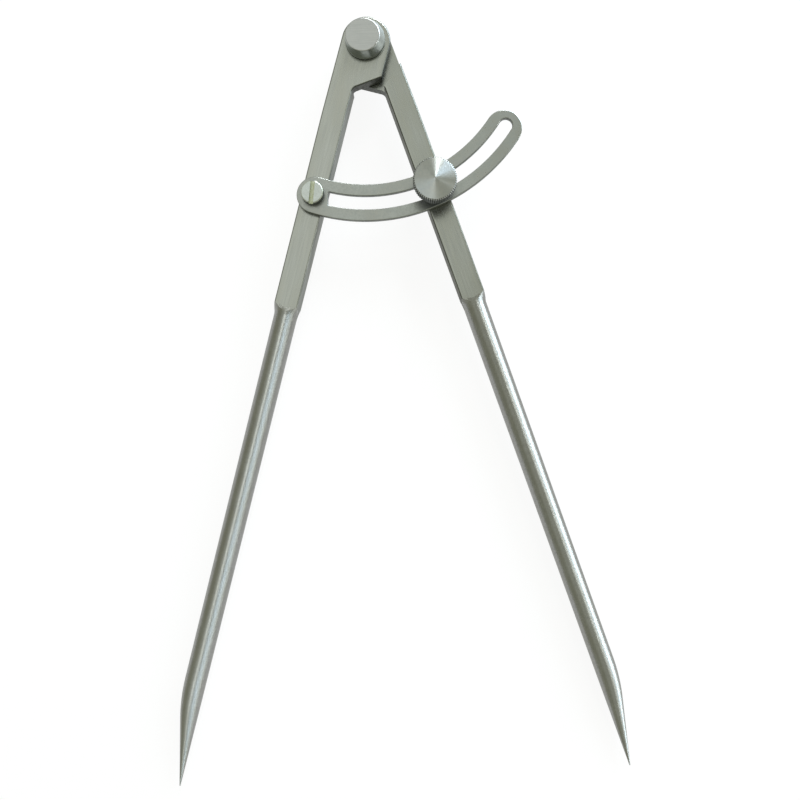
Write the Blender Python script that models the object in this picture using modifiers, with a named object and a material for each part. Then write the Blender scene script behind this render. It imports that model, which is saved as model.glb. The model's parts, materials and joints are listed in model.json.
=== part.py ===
"""Roofer's wing compass, lying on its back with the points towards -Y.

Two identical legs of square bar are lapped into each other at the pivot, so that they close side by
side. Each is turned down to a round rod with a point.
A slotted steel arc is screwed to the left leg and runs under a knurled clamp screw in the right leg.
Metres, +Z up. The origin is the centre of the rear pivot nut's flat face, on the pivot's axis.
"""
import math

import bmesh
import bpy
from mathutils import Matrix, Vector

MM = 0.001

# Fits
SEAT_GAP = 0.30 * MM             # between two pieces that bear on each other
BORE_CLEARANCE = 0.30 * MM       # between a shank and the wall of its hole
CLOSED_CLEARANCE = 0.15 * MM     # from a closed leg's inner side to the line between the legs

# Leg: a square bar with a half-thickness ear, turned down to a round rod and a point
OPENING_AT_REST = math.radians(34.0)
POINT_REACH = 242.4 * MM         # pivot axis to point
BAR_WIDTH = 8.0 * MM             # from the line between the legs to the outer side
BAR_THICKNESS = 8.0 * MM
FLAT_LENGTH = 88.2 * MM          # pivot axis to the end of the flat faces, along their middle
EDGE_RADIUS = 0.5 * MM
EDGE_SEGMENTS = 4
EAR_RADIUS = 7.65 * MM
EAR_TAPER_LENGTH = 25.0 * MM     # in which the outer side comes out from the ear to the bar's width
EAR_SIDE_LENGTH = 9.9 * MM       # pivot axis to the ear's lower corner, along the leg
EAR_SLANT_LENGTH = 5.5 * MM      # how much further the foot of the ear's slanted side lies
EAR_ROOT_RADIUS = 2.0 * MM
EAR_ROUND_SEGMENTS = 20
EAR_ROOT_SEGMENTS = 5
LAP_CLEARANCE = 0.30 * MM        # from the milled step to the other leg's ear, when closed

# Rod and point
SHOULDER_ANGLE = math.radians(35.0)    # of the turned cone that ends the bar, to the rod's axis
SHOULDER_SPARE = 1.0 * MM        # length of bar past the cone's foot, before turning
ROD_TOP_DIAMETER = 7.4 * MM
ROD_TOP_INSET = 0.40 * MM        # from the line between the legs to the rod's inner side
ROD_LOW_DIAMETER = 6.85 * MM
ROD_LOW_INSET = 0.20 * MM
POINT_CURVE_LENGTH = 13.0 * MM
POINT_CONE_LENGTH = 21.0 * MM
POINT_CURVE_RINGS = 6
POINT_DIAMETER = 0.30 * MM

# Pivot bolt and nut: the same turned head on both faces
PIVOT_DIAMETER = 5.0 * MM
HEAD_DIAMETER = 12.7 * MM
HEAD_FACE_DIAMETER = 9.9 * MM
HEAD_HEIGHT = 4.0 * MM
HEAD_RIM_HEIGHT = 1.2 * MM
HEAD_EDGE = 0.25 * MM
NUT_FLOOR = 1.5 * MM             # metal left between the nut's blind hole and its flat face

# Wing arc
ARC_RADIUS = 51.5 * MM           # of its slot's centre line, about the pivot
ARC_WIDTH = 11.3 * MM
ARC_THICKNESS = 2.0 * MM
ARC_EDGE = 0.25 * MM
ARC_EDGE_SEGMENTS = 2
ARC_STEP = math.radians(2.5)
ARC_END_SEGMENTS = 14
ARC_START_SETBACK = 0.6 * MM     # from the screw hole's centre to that of the rim's near end
ARC_END_SETBACK = 1.2 * MM       # from the slot's last centre to that of the rim's far end
MAX_OPENING = math.radians(67.3)
SLOT_CLEARANCE = 0.10 * MM       # each side of the clamp screw's thread
SLOT_START_OFFSET = 0.5 * MM     # from the left leg's inner line to the slot's square end
SLOT_START_LEAN = 0.95 * MM      # how much further along the outer corner of that end lies
SLOT_CORNER = 0.5 * MM
SLOT_CORNER_SEGMENTS = 3

# Screws
THREAD_DIAMETER = 4.0 * MM       # arc screw and clamp screw alike
THREAD_END_CHAMFER = 0.5 * MM
THREAD_END_INSET = 0.3 * MM      # from the leg's back face to a screw's end
SCREW_HEAD_DIAMETER = 7.0 * MM
SCREW_HEAD_HEIGHT = 2.6 * MM
SCREW_HEAD_EDGE = 0.4 * MM
SCREW_HEAD_EDGE_SEGMENTS = 3
DRIVE_SLOT_WIDTH = 1.2 * MM
DRIVE_SLOT_DEPTH = 1.1 * MM
DRIVE_SLOT_ANGLE = math.radians(2.0)

# Clamp screw: a knurled disc on a collar
DISC_DIAMETER = 13.2 * MM
DISC_HEIGHT = 4.4 * MM
DISC_CHAMFER = 0.45 * MM
DISC_CROWN = 0.8 * MM
DISC_CLEARANCE = 2.6 * MM        # disc over the arc screw's head, when the legs are closed
COLLAR_CLEARANCE = 0.5 * MM      # collar beside the arc screw's head, when the legs are closed
KNURL_TEETH = 48
KNURL_DEPTH = 0.22 * MM

# Meshing
TURNED_STEPS = 40
SHARP_ANGLE = math.radians(30.0)
BEVEL_ANGLE = math.radians(50.0)
TOLERANCE = 0.001 * MM
WELD_DISTANCE = 0.002 * MM
TURNED_MERGE = 0.005 * MM

# Finishes: linear colour and roughness
LEG_FINISH = ("leg stainless steel", (0.31, 0.32, 0.27), 0.42)
ARC_FINISH = ("pressed stainless steel", (0.31, 0.34, 0.31), 0.45)
PIVOT_FINISH = ("turned stainless steel", (0.42, 0.43, 0.40), 0.30)
CLAMP_FINISH = ("bright turned stainless steel", (0.50, 0.53, 0.50), 0.22)
SCREW_FINISH = ("zinc plated steel", (0.56, 0.62, 0.56), 0.30)

# Levels above the surface that the compass lies on
LEG_MID_LEVEL = HEAD_HEIGHT + SEAT_GAP + BAR_THICKNESS / 2
LEG_FRONT_LEVEL = LEG_MID_LEVEL + BAR_THICKNESS / 2
LEG_BACK_LEVEL = LEG_MID_LEVEL - BAR_THICKNESS / 2
ARC_LEVEL = LEG_FRONT_LEVEL + SEAT_GAP
SCREW_SEAT_LEVEL = ARC_LEVEL + ARC_THICKNESS + SEAT_GAP
DISC_LEVEL = SCREW_SEAT_LEVEL + SCREW_HEAD_HEIGHT + DISC_CLEARANCE
THREAD_END_LEVEL = LEG_BACK_LEVEL + THREAD_END_INSET

# Lengths down the leg from the pivot
EAR_ROOT_LENGTH = EAR_SIDE_LENGTH + EAR_SLANT_LENGTH
ROD_START = FLAT_LENGTH + (BAR_THICKNESS - ROD_TOP_DIAMETER) / 2 / math.tan(SHOULDER_ANGLE)
BAR_LENGTH = ROD_START + SHOULDER_SPARE
CONE_START = POINT_REACH - POINT_CONE_LENGTH
POINT_START = CONE_START - POINT_CURVE_LENGTH

# The screw holes lie on the flats' centre lines and on the slot's centre line
HOLE_OFFSET = BAR_WIDTH / 2
HOLE_LENGTH = math.sqrt(ARC_RADIUS**2 - HOLE_OFFSET**2)
HOLE_ANGLE = math.asin(HOLE_OFFSET / ARC_RADIUS)
COLLAR_RADIUS = 2 * HOLE_OFFSET - SCREW_HEAD_DIAMETER / 2 - COLLAR_CLEARANCE


def clear_scene():
    for found in list(bpy.data.objects):
        bpy.data.objects.remove(found, do_unlink=True)


def new_collection(name):
    collection = bpy.data.collections.new(name)
    bpy.context.scene.collection.children.link(collection)
    return collection


def metal(name, color, roughness):
    """A Principled metal in a linear colour."""
    material = bpy.data.materials.new(name)
    material.use_nodes = True
    shader = material.node_tree.nodes["Principled BSDF"]
    shader.inputs["Base Color"].default_value = (*color, 1.0)
    shader.inputs["Roughness"].default_value = roughness
    shader.inputs["Metallic"].default_value = 1.0
    material.diffuse_color = (*color, 1.0)
    return material


def new_object(name, mesh, collection, material=None):
    made = bpy.data.objects.new(name, mesh)
    collection.objects.link(made)
    if material is not None:
        mesh.materials.clear()
        mesh.materials.append(material)
    return made


def as_cutter(tool):
    tool.hide_render = True
    tool.display_type = "WIRE"
    return tool


def smooth_round_faces(mesh):
    mesh.shade_smooth()
    mesh.set_sharp_from_angle(angle=SHARP_ANGLE)


def modified_mesh(source, name):
    """The mesh of an object with its modifiers, welded; the object itself is removed."""
    graph = bpy.context.evaluated_depsgraph_get()
    mesh = bpy.data.meshes.new_from_object(source.evaluated_get(graph))
    mesh.name = name
    bpy.data.objects.remove(source, do_unlink=True)
    shape = bmesh.new()
    shape.from_mesh(mesh)
    bmesh.ops.remove_doubles(shape, verts=shape.verts, dist=WELD_DISTANCE)
    bmesh.ops.recalc_face_normals(shape, faces=shape.faces)
    shape.to_mesh(mesh)
    shape.free()
    return mesh


def cut(target, tool, operation="DIFFERENCE"):
    """Take the tool's shape out of the target, or with INTERSECT keep what lies inside it."""
    boolean = target.modifiers.new("cut " + tool.name, "BOOLEAN")
    boolean.operation = operation
    boolean.solver = "EXACT"
    boolean.object = tool


def turned(name, profile, collection, material=None):
    """A solid of revolution about Z from (radius, height) points, listed from top to bottom."""
    mesh = bpy.data.meshes.new(name)
    mesh.from_pydata([(radius, 0.0, height) for radius, height in profile],
                     [(i, i + 1) for i in range(len(profile) - 1)], [])
    made = new_object(name, mesh, collection, material)
    screw = made.modifiers.new("turn", "SCREW")
    screw.axis = "Z"
    screw.steps = TURNED_STEPS
    screw.render_steps = TURNED_STEPS
    screw.use_merge_vertices = True
    screw.merge_threshold = TURNED_MERGE
    screw.use_smooth_shade = True
    return made


def arc_points(centre, radius, start, end, segments):
    """Points on a circle, both ends included."""
    angles = [start + (end - start) * i / segments for i in range(segments + 1)]
    return [Vector((centre[0] + radius * math.cos(a), centre[1] + radius * math.sin(a))) for a in angles]


def fillet_points(before, corner, after, radius, segments):
    """A corner rounded by a tangent arc."""
    corner = Vector(corner)
    to_before = (Vector(before) - corner).normalized()
    to_after = (Vector(after) - corner).normalized()
    half = to_before.angle(to_after) / 2
    centre = corner + (to_before + to_after).normalized() * radius / math.sin(half)
    start = corner + to_before * radius / math.tan(half) - centre
    end = corner + to_after * radius / math.tan(half) - centre
    sweep = math.atan2(start.x * end.y - start.y * end.x, start.dot(end))
    first = math.atan2(start.y, start.x)
    return arc_points(centre, radius, first, first + sweep, segments)


def plate(name, outlines, bottom, thickness, collection):
    """The mesh of a flat piece, from a closed outline and the outlines of its holes."""
    curve = bpy.data.curves.new(name, "CURVE")
    curve.dimensions = "2D"
    curve.fill_mode = "BOTH"
    curve.extrude = thickness / 2
    for outline in outlines:
        spline = curve.splines.new("POLY")
        spline.points.add(len(outline) - 1)
        for point, place in zip(spline.points, outline):
            point.co = (place[0], place[1], 0.0, 1.0)
        spline.use_cyclic_u = True
    drawn = bpy.data.objects.new(name, curve)
    collection.objects.link(drawn)
    bpy.context.view_layer.update()
    mesh = modified_mesh(drawn, name)
    mesh.transform(Matrix.Translation((0.0, 0.0, bottom + thickness / 2)))
    return mesh


def ear_corners(side):
    """The outer corner and the foot of the ear's slanted lower side. side is -1 or +1 in X."""
    return Vector((side * EAR_RADIUS, -EAR_SIDE_LENGTH)), Vector((0.0, -EAR_ROOT_LENGTH))


def leg_outline():
    """The bar and its ear seen from the front, outer side at +X, from the pivot to the bar's end."""
    corner, foot = ear_corners(-1)
    root = Vector((CLOSED_CLEARANCE, foot.y))
    bar_end = Vector((CLOSED_CLEARANCE, -BAR_LENGTH))
    outline = [Vector((BAR_WIDTH, -BAR_LENGTH)), Vector((BAR_WIDTH, -EAR_TAPER_LENGTH))]
    outline += arc_points((0.0, 0.0), EAR_RADIUS, 0.0, math.pi, EAR_ROUND_SEGMENTS)
    outline.append(corner)
    outline += fillet_points(corner, root, bar_end, EAR_ROOT_RADIUS, EAR_ROOT_SEGMENTS)
    outline.append(bar_end)
    return outline


def is_level(edge):
    first, second = edge.verts
    return abs(first.co.z - second.co.z) < TOLERANCE


def reaches(item, distance):
    """Whether all corners of an edge or face lie at least this far down the leg."""
    return all(vert.co.y < TOLERANCE - distance for vert in item.verts)


def bar_mesh():
    """The bar and its ear: the outline carried up by the thickness, with its long edges rounded."""
    shape = bmesh.new()
    outline = [shape.verts.new((p.x, p.y, -BAR_THICKNESS / 2)) for p in leg_outline()]
    face = shape.faces.new(outline)
    grown = bmesh.ops.extrude_face_region(shape, geom=[face])["geom"]
    lifted = [item for item in grown if isinstance(item, bmesh.types.BMVert)]
    bmesh.ops.translate(shape, verts=lifted, vec=(0.0, 0.0, BAR_THICKNESS))
    bmesh.ops.recalc_face_normals(shape, faces=shape.faces)
    rims = [edge for edge in shape.edges if is_level(edge) and not reaches(edge, BAR_LENGTH)]
    bmesh.ops.bevel(shape, geom=rims, offset=EDGE_RADIUS, offset_type="OFFSET",
                    segments=EDGE_SEGMENTS, profile=0.5, affect="EDGES", clamp_overlap=False)
    mesh = bpy.data.meshes.new("leg_bar")
    shape.to_mesh(mesh)
    shape.free()
    return mesh


def shoulder_tool(collection):
    """What turning leaves of the bar: all of it down to a cone, whose foot is the rod's top."""
    radius = ROD_TOP_DIAMETER / 2
    reach = 4 * BAR_WIDTH
    cone_top = ROD_START - (reach - radius) / math.tan(SHOULDER_ANGLE)
    profile = [(0.0, ROD_START), (radius, ROD_START), (reach, cone_top), (reach, -reach), (0.0, -reach)]
    tool = as_cutter(turned("shoulder_tool", profile, collection))
    tool.location = (ROD_TOP_INSET + radius, 0.0, 0.0)
    tool.rotation_euler = (math.pi / 2, 0.0, 0.0)
    return tool


def rod_sections():
    """(along, diameter, inset) below the rod's top: its low end, a tangent curve, a straight cone."""
    slope = (ROD_LOW_DIAMETER - POINT_DIAMETER) / (POINT_CONE_LENGTH + POINT_CURVE_LENGTH / 2)
    sections = []
    for i in range(POINT_CURVE_RINGS + 1):
        distance = POINT_CURVE_LENGTH * i / POINT_CURVE_RINGS
        drop = slope * distance**2 / (2 * POINT_CURVE_LENGTH)
        sections.append((POINT_START + distance, ROD_LOW_DIAMETER - drop, ROD_LOW_INSET))
    sections.append((POINT_REACH, POINT_DIAMETER, ROD_LOW_INSET))
    return sections


def rod_ring(section, count):
    """Points round the rod, starting on its outer side."""
    along, diameter, inset = section
    turns = [2 * math.pi * i / count for i in range(count)]
    centre = inset + diameter / 2
    return [(centre + diameter / 2 * math.cos(a), -along, diameter / 2 * math.sin(a)) for a in turns]


def next_ring(shape, ring, places):
    """Carry a ring of vertices on to new places, with a band of faces between."""
    carried = [shape.verts.new(place) for place in places]
    count = len(ring)
    for i in range(count):
        j = (i + 1) % count
        shape.faces.new((ring[i], ring[j], carried[j], carried[i]))
    return carried


def open_rod_top(shape):
    """Take away the end face at the cone's foot. The points round it are returned in turn."""
    end_faces = [face for face in shape.faces if reaches(face, ROD_START)]
    bmesh.ops.delete(shape, geom=end_faces, context="FACES")
    ring = [vert for vert in shape.verts if vert.co.y < TOLERANCE - ROD_START]
    centre = ROD_TOP_INSET + ROD_TOP_DIAMETER / 2
    half_step = math.pi / len(ring)
    turns = {vert: math.atan2(vert.co.z, vert.co.x - centre) + half_step for vert in ring}
    return sorted(ring, key=lambda vert: turns[vert] % (2 * math.pi))


def turned_leg(collection):
    """One leg before milling: the bar with its ear, turned down to the rod and the point."""
    bar = new_object("leg_bar", bar_mesh(), collection)
    cut(bar, shoulder_tool(collection), "INTERSECT")
    bpy.context.view_layer.update()
    mesh = modified_mesh(bar, "leg")
    shape = bmesh.new()
    shape.from_mesh(mesh)
    ring = open_rod_top(shape)
    for section in rod_sections():
        ring = next_ring(shape, ring, rod_ring(section, len(ring)))
    shape.faces.new(ring)
    bmesh.ops.recalc_face_normals(shape, faces=shape.faces)
    shape.to_mesh(mesh)
    shape.free()
    return mesh


def lap_tool(collection):
    """The milling that leaves the ear at half thickness and lets the other leg's ear in."""
    corner, foot = ear_corners(1)
    up_step = (corner - foot).normalized()
    away = Vector((up_step.y, -up_step.x)) * LAP_CLEARANCE
    step_end = corner + away + up_step * BAR_WIDTH
    step_foot = foot + away
    step_start = step_foot + up_step * (CLOSED_CLEARANCE - step_foot.x) / up_step.x
    reach = 2 * BAR_WIDTH
    below_root = -EAR_ROOT_LENGTH - 2 * EAR_ROOT_RADIUS
    outline = [(-reach, below_root), (CLOSED_CLEARANCE, below_root), step_start, step_end,
               (step_end.x, reach), (-reach, reach)]
    mesh = plate("lap_tool", [outline], -SEAT_GAP / 2, BAR_THICKNESS, collection)
    return as_cutter(new_object("lap_tool", mesh, collection))


def hole_tool(name, shank_diameter, place, collection):
    """A round cutter through the leg, with the clearance that the shank needs."""
    radius = shank_diameter / 2 + BORE_CLEARANCE
    top = BAR_THICKNESS
    profile = [(0.0, top), (radius, top), (radius, -top), (0.0, -top)]
    tool = as_cutter(turned(name, profile, collection))
    tool.location = (place[0], place[1], 0.0)
    return tool


def build_legs(parts, tools):
    """The two legs are alike; the left one is turned over, so that its ear is in front."""
    blank = new_object("leg_blank", turned_leg(tools), tools)
    cut(blank, lap_tool(tools))
    cut(blank, hole_tool("pivot_hole_tool", PIVOT_DIAMETER, (0.0, 0.0), tools))
    cut(blank, hole_tool("screw_hole_tool", THREAD_DIAMETER, (HOLE_OFFSET, -HOLE_LENGTH), tools))
    bpy.context.view_layer.update()
    mesh = modified_mesh(blank, "milled_leg")
    smooth_round_faces(mesh)

    finish = metal(*LEG_FINISH)
    right = new_object("right_leg", mesh, parts, finish)
    right.location = (0.0, 0.0, LEG_MID_LEVEL)
    right.rotation_euler = (0.0, 0.0, OPENING_AT_REST / 2)
    left = new_object("left_leg", mesh.copy(), parts, finish)
    left.location = (0.0, 0.0, LEG_MID_LEVEL)
    left.rotation_euler = (0.0, math.pi, -OPENING_AT_REST / 2)


def head_profile(seat, face):
    """The turned head from its seat to its face: a rim, then a cone."""
    up = 1.0 if face > seat else -1.0
    return [
        (HEAD_DIAMETER / 2 - HEAD_EDGE, seat),
        (HEAD_DIAMETER / 2, seat + up * HEAD_EDGE),
        (HEAD_DIAMETER / 2, seat + up * HEAD_RIM_HEIGHT),
        (HEAD_FACE_DIAMETER / 2 + HEAD_EDGE, face - up * HEAD_EDGE),
        (HEAD_FACE_DIAMETER / 2, face),
        (0.0, face),
    ]


def shank_profile(diameter, seat, end):
    """A shank from the seat of its head down to its chamfered end."""
    radius = diameter / 2
    return [(radius, seat), (radius, end + THREAD_END_CHAMFER), (radius - THREAD_END_CHAMFER, end),
            (0.0, end)]


def build_pivot(parts):
    """The pivot bolt comes from the front and ends in the blind nut at the back."""
    finish = metal(*PIVOT_FINISH)
    head = head_profile(ARC_LEVEL, ARC_LEVEL + HEAD_HEIGHT)
    shank = shank_profile(PIVOT_DIAMETER, ARC_LEVEL, NUT_FLOOR + SEAT_GAP)
    turned("pivot_bolt", head[::-1] + shank, parts, finish)

    bore = PIVOT_DIAMETER / 2 + BORE_CLEARANCE
    inside = [(0.0, NUT_FLOOR), (bore, NUT_FLOOR), (bore, HEAD_HEIGHT)]
    turned("pivot_nut", inside + head_profile(HEAD_HEIGHT, 0.0), parts, finish)


def polar(radius, angle):
    """A point on the arc, by its angle from the left leg's inner line towards the right leg."""
    return Vector((radius * math.sin(angle), -radius * math.cos(angle)))


def ring_points(radius, start, end):
    """Points along a circle about the pivot, both ends included."""
    count = max(2, math.ceil(abs(end - start) / ARC_STEP))
    return [polar(radius, start + (end - start) * i / count) for i in range(count + 1)]


def round_end(at, width, forwards):
    """A half circle that closes a band of this width at an angle, from its outer to its inner side."""
    centre = polar(ARC_RADIUS, at)
    outwards = centre.normalized()
    ahead = Vector((-outwards.y, outwards.x)) * (1.0 if forwards else -1.0)
    sweep = [math.pi * i / ARC_END_SEGMENTS for i in range(1, ARC_END_SEGMENTS)]
    return [centre + (outwards * math.cos(a) + ahead * math.sin(a)) * width / 2 for a in sweep]


def arc_outline(start, end):
    """The arc's rim: two rings about the pivot, closed by round ends."""
    outline = ring_points(ARC_RADIUS + ARC_WIDTH / 2, start, end)
    outline += round_end(end, ARC_WIDTH, True)
    outline += ring_points(ARC_RADIUS - ARC_WIDTH / 2, end, start)
    outline += round_end(start, ARC_WIDTH, False)[::-1]
    return outline


def slot_outline(end):
    """The slot that the clamp screw runs in: cut off straight near the left leg, round at the far end."""
    width = THREAD_DIAMETER + 2 * SLOT_CLEARANCE
    outer = ARC_RADIUS + width / 2
    inner = ARC_RADIUS - width / 2
    inner_start = math.asin(SLOT_START_OFFSET / ARC_RADIUS)
    outer_start = inner_start + SLOT_START_LEAN / ARC_RADIUS
    corner_reach = 2 * SLOT_CORNER / ARC_RADIUS
    inner_corner = polar(inner, inner_start)
    outer_corner = polar(outer, outer_start)
    outline = fillet_points(inner_corner, outer_corner, polar(outer, outer_start + corner_reach),
                            SLOT_CORNER, SLOT_CORNER_SEGMENTS)
    outline += ring_points(outer, outer_start + corner_reach, end)
    outline += round_end(end, width, True)
    outline += ring_points(inner, end, inner_start + corner_reach)
    outline += fillet_points(polar(inner, inner_start + corner_reach), inner_corner, outer_corner,
                             SLOT_CORNER, SLOT_CORNER_SEGMENTS)
    return outline


def build_arc(parts):
    """The slotted arc, laid out from the left leg's inner line and turned with that leg."""
    slot_end = MAX_OPENING + HOLE_ANGLE
    rim = arc_outline(ARC_START_SETBACK / ARC_RADIUS - HOLE_ANGLE, slot_end - ARC_END_SETBACK / ARC_RADIUS)
    hole = arc_points(polar(ARC_RADIUS, -HOLE_ANGLE), THREAD_DIAMETER / 2 + BORE_CLEARANCE,
                      0.0, 2 * math.pi, TURNED_STEPS)
    outlines = [rim, slot_outline(slot_end), hole[:-1]]
    mesh = plate("wing_arc", outlines, ARC_LEVEL, ARC_THICKNESS, parts)
    arc = new_object("wing_arc", mesh, parts, metal(*ARC_FINISH))
    arc.rotation_euler = (0.0, 0.0, -OPENING_AT_REST / 2)
    bevel = arc.modifiers.new("edges", "BEVEL")
    bevel.width = ARC_EDGE
    bevel.segments = ARC_EDGE_SEGMENTS
    bevel.limit_method = "ANGLE"
    bevel.angle_limit = BEVEL_ANGLE


def build_arc_screw(parts, tools):
    """The slotted cheese-head screw that the arc swings on, threaded into the left leg."""
    top = SCREW_SEAT_LEVEL + SCREW_HEAD_HEIGHT
    head = SCREW_HEAD_DIAMETER / 2
    rounding = arc_points((head - SCREW_HEAD_EDGE, top - SCREW_HEAD_EDGE), SCREW_HEAD_EDGE,
                          math.pi / 2, 0.0, SCREW_HEAD_EDGE_SEGMENTS)
    profile = [(0.0, top)] + [(p.x, p.y) for p in rounding] + [(head, SCREW_SEAT_LEVEL)]
    profile += shank_profile(THREAD_DIAMETER, SCREW_SEAT_LEVEL, THREAD_END_LEVEL)
    screw = turned("arc_screw", profile, parts, metal(*SCREW_FINISH))
    place = polar(ARC_RADIUS, -HOLE_ANGLE - OPENING_AT_REST / 2)
    screw.location = (place.x, place.y, 0.0)

    half = DRIVE_SLOT_WIDTH / 2
    reach = SCREW_HEAD_DIAMETER
    outline = [(-half, -reach), (half, -reach), (half, reach), (-half, reach)]
    mesh = plate("drive_slot_tool", [outline], top - DRIVE_SLOT_DEPTH, 2 * DRIVE_SLOT_DEPTH, tools)
    tool = as_cutter(new_object("drive_slot_tool", mesh, tools))
    tool.location = screw.location
    tool.rotation_euler = (0.0, 0.0, DRIVE_SLOT_ANGLE)
    cut(screw, tool)


def knurled_ring(radius, height, depth=0.0):
    """Points round the clamp screw, with every second one set in by the knurl's depth."""
    count = 2 * KNURL_TEETH
    angles = [2 * math.pi * i / count for i in range(count)]
    radii = [radius - depth * (i % 2) for i in range(count)]
    return [(r * math.cos(a), r * math.sin(a), height) for r, a in zip(radii, angles)]


def build_clamp_screw(parts):
    """Thumb screw turned in one piece: a knurled disc with a crowned face, collar and thread."""
    disc = DISC_DIAMETER / 2
    top = DISC_LEVEL + DISC_HEIGHT
    shank = shank_profile(THREAD_DIAMETER, SCREW_SEAT_LEVEL, THREAD_END_LEVEL)
    rings = [knurled_ring(radius, height) for radius, height in shank[-2::-1]]
    rings += [
        knurled_ring(COLLAR_RADIUS, SCREW_SEAT_LEVEL),
        knurled_ring(COLLAR_RADIUS, DISC_LEVEL),
        knurled_ring(disc - DISC_CHAMFER, DISC_LEVEL),
        knurled_ring(disc, DISC_LEVEL + DISC_CHAMFER, KNURL_DEPTH),
        knurled_ring(disc, top - DISC_CHAMFER, KNURL_DEPTH),
        knurled_ring(disc - DISC_CHAMFER, top),
    ]
    shape = bmesh.new()
    ring = [shape.verts.new(place) for place in rings[0]]
    shape.faces.new(ring)
    for places in rings[1:]:
        ring = next_ring(shape, ring, places)
    tip = shape.verts.new((0.0, 0.0, top + DISC_CROWN))
    for first, second in zip(ring, ring[1:] + ring[:1]):
        shape.faces.new((first, second, tip))
    bmesh.ops.recalc_face_normals(shape, faces=shape.faces)
    mesh = bpy.data.meshes.new("clamp_screw")
    shape.to_mesh(mesh)
    shape.free()
    smooth_round_faces(mesh)
    screw = new_object("clamp_screw", mesh, parts, metal(*CLAMP_FINISH))
    place = polar(ARC_RADIUS, HOLE_ANGLE + OPENING_AT_REST / 2)
    screw.location = (place.x, place.y, 0.0)


def main():
    clear_scene()
    parts = new_collection("roofer_compass")
    tools = new_collection("cutters")
    build_legs(parts, tools)
    build_pivot(parts)
    build_arc(parts)
    build_arc_screw(parts, tools)
    build_clamp_screw(parts)


main()
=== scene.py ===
# %% [markdown]
# # A roofers' wing compass in stainless steel
# The compass lies on its back on a white table, seen from almost straight above. Two legs of
# square bar are lapped into each other at a turned pivot. A slotted arc is screwed to the left leg
# and runs under a knurled clamp screw in the right leg.
#
# The imported model gives every piece its place. Here each piece is made again as a fine surface,
# inside the same outline, and is given the finish that its making leaves on the steel. Dark sides,
# edges and hollows carry painted shade, and lighter or darker copies of one finish carry painted
# light.

# %% Load the fixed frame
import json
import math

import bmesh
import bpy
import numpy as np
from mathutils import Matrix, Vector


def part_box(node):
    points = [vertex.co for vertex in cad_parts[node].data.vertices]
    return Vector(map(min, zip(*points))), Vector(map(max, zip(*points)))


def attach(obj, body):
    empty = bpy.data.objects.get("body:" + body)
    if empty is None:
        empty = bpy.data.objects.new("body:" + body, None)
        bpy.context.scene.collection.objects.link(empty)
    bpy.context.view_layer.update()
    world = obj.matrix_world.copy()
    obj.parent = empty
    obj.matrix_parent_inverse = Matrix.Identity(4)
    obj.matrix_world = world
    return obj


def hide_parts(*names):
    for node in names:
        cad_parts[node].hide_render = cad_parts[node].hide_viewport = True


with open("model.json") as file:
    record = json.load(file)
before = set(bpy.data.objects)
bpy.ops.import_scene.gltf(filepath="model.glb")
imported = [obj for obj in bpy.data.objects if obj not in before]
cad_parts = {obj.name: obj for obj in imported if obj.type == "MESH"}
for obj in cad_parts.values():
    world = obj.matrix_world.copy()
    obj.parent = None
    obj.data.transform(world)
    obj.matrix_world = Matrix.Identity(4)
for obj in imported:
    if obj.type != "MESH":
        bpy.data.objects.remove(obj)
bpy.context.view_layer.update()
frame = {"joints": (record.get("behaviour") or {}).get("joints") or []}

# %% [markdown]
# ## Working units and colours
# Sizes below are in millimetres, because a toolmaker thinks in them, and they are turned into
# metres when a mesh is made. Colours are written as sRGB hex values, as one would pick them, and
# one function turns them into the linear values that shader sockets take.

# %% Units and colours
MM = 0.001


def linear(hex_color):
    """sRGB hex to linear RGBA: c / 12.92 up to 0.04045, ((c + 0.055) / 1.055) ^ 2.4 above it."""
    coded = np.array([int(hex_color[i:i + 2], 16) for i in (1, 3, 5)]) / 255
    plain = np.where(coded <= 0.04045, coded / 12.92, ((coded + 0.055) / 1.055) ** 2.4)
    return (*plain.tolist(), 1.0)


print("mid grey #808080 is", round(linear("#808080")[0], 3), "in linear light")

# %% [markdown]
# A shader is a tree of nodes. Adding a node, setting its options and linking its inputs are always
# the same three steps, so one short function does them for every kind of node.

# %% One function for shader nodes


def add_node(tree, kind, inputs=None, **settings):
    """Add a node with its settings. An input that is a socket is linked, any other is a value."""
    node = tree.nodes.new(kind)
    for name, value in settings.items():
        setattr(node, name, value)
    for socket, value in (inputs or {}).items():
        if isinstance(value, bpy.types.NodeSocket):
            tree.links.new(value, node.inputs[socket])
        else:
            node.inputs[socket].default_value = value
    return node


print("node helper ready:", add_node.__name__)

# %% [markdown]
# ## From a grid of points to a mesh
# Every surface here is a grid: its rows run along the piece and its columns run round it. One
# function makes faces from the grid's cells, and another welds rows and columns that meet, such as
# a seam or a pole, and turns the faces outwards. The grid also keeps a UV map that follows the
# piece, because stretched highlights need to know which way the tool went.

# %% Grids and welds
WELD = 0.0002


def grid_mesh(name, points, uv):
    """Cell (i, j) of points (rows, columns, 3) in mm is a face on corners i, i+1 and j, j+1."""
    rows, columns = points.shape[:2]
    index = np.arange(rows * columns).reshape(rows, columns)
    corners = np.stack([index[:-1, :-1], index[1:, :-1], index[1:, 1:], index[:-1, 1:]], axis=-1)
    corners = corners.reshape(-1, 4)
    mesh = bpy.data.meshes.new(name)
    mesh.from_pydata((points.reshape(-1, 3) * MM).tolist(), [], corners.tolist())
    layer = mesh.uv_layers.new(name="surface")
    layer.data.foreach_set("uv", uv.reshape(-1, 2)[corners.ravel()].ravel().astype(np.float32))
    return mesh


def weld(mesh):
    """Merge points that meet, and turn the faces of the closed shape outwards."""
    shape = bmesh.new()
    shape.from_mesh(mesh)
    bmesh.ops.remove_doubles(shape, verts=shape.verts, dist=WELD * MM)
    bmesh.ops.recalc_face_normals(shape, faces=shape.faces)
    shape.to_mesh(mesh)
    shape.free()


print("points closer than", WELD, "mm are welded")

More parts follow.
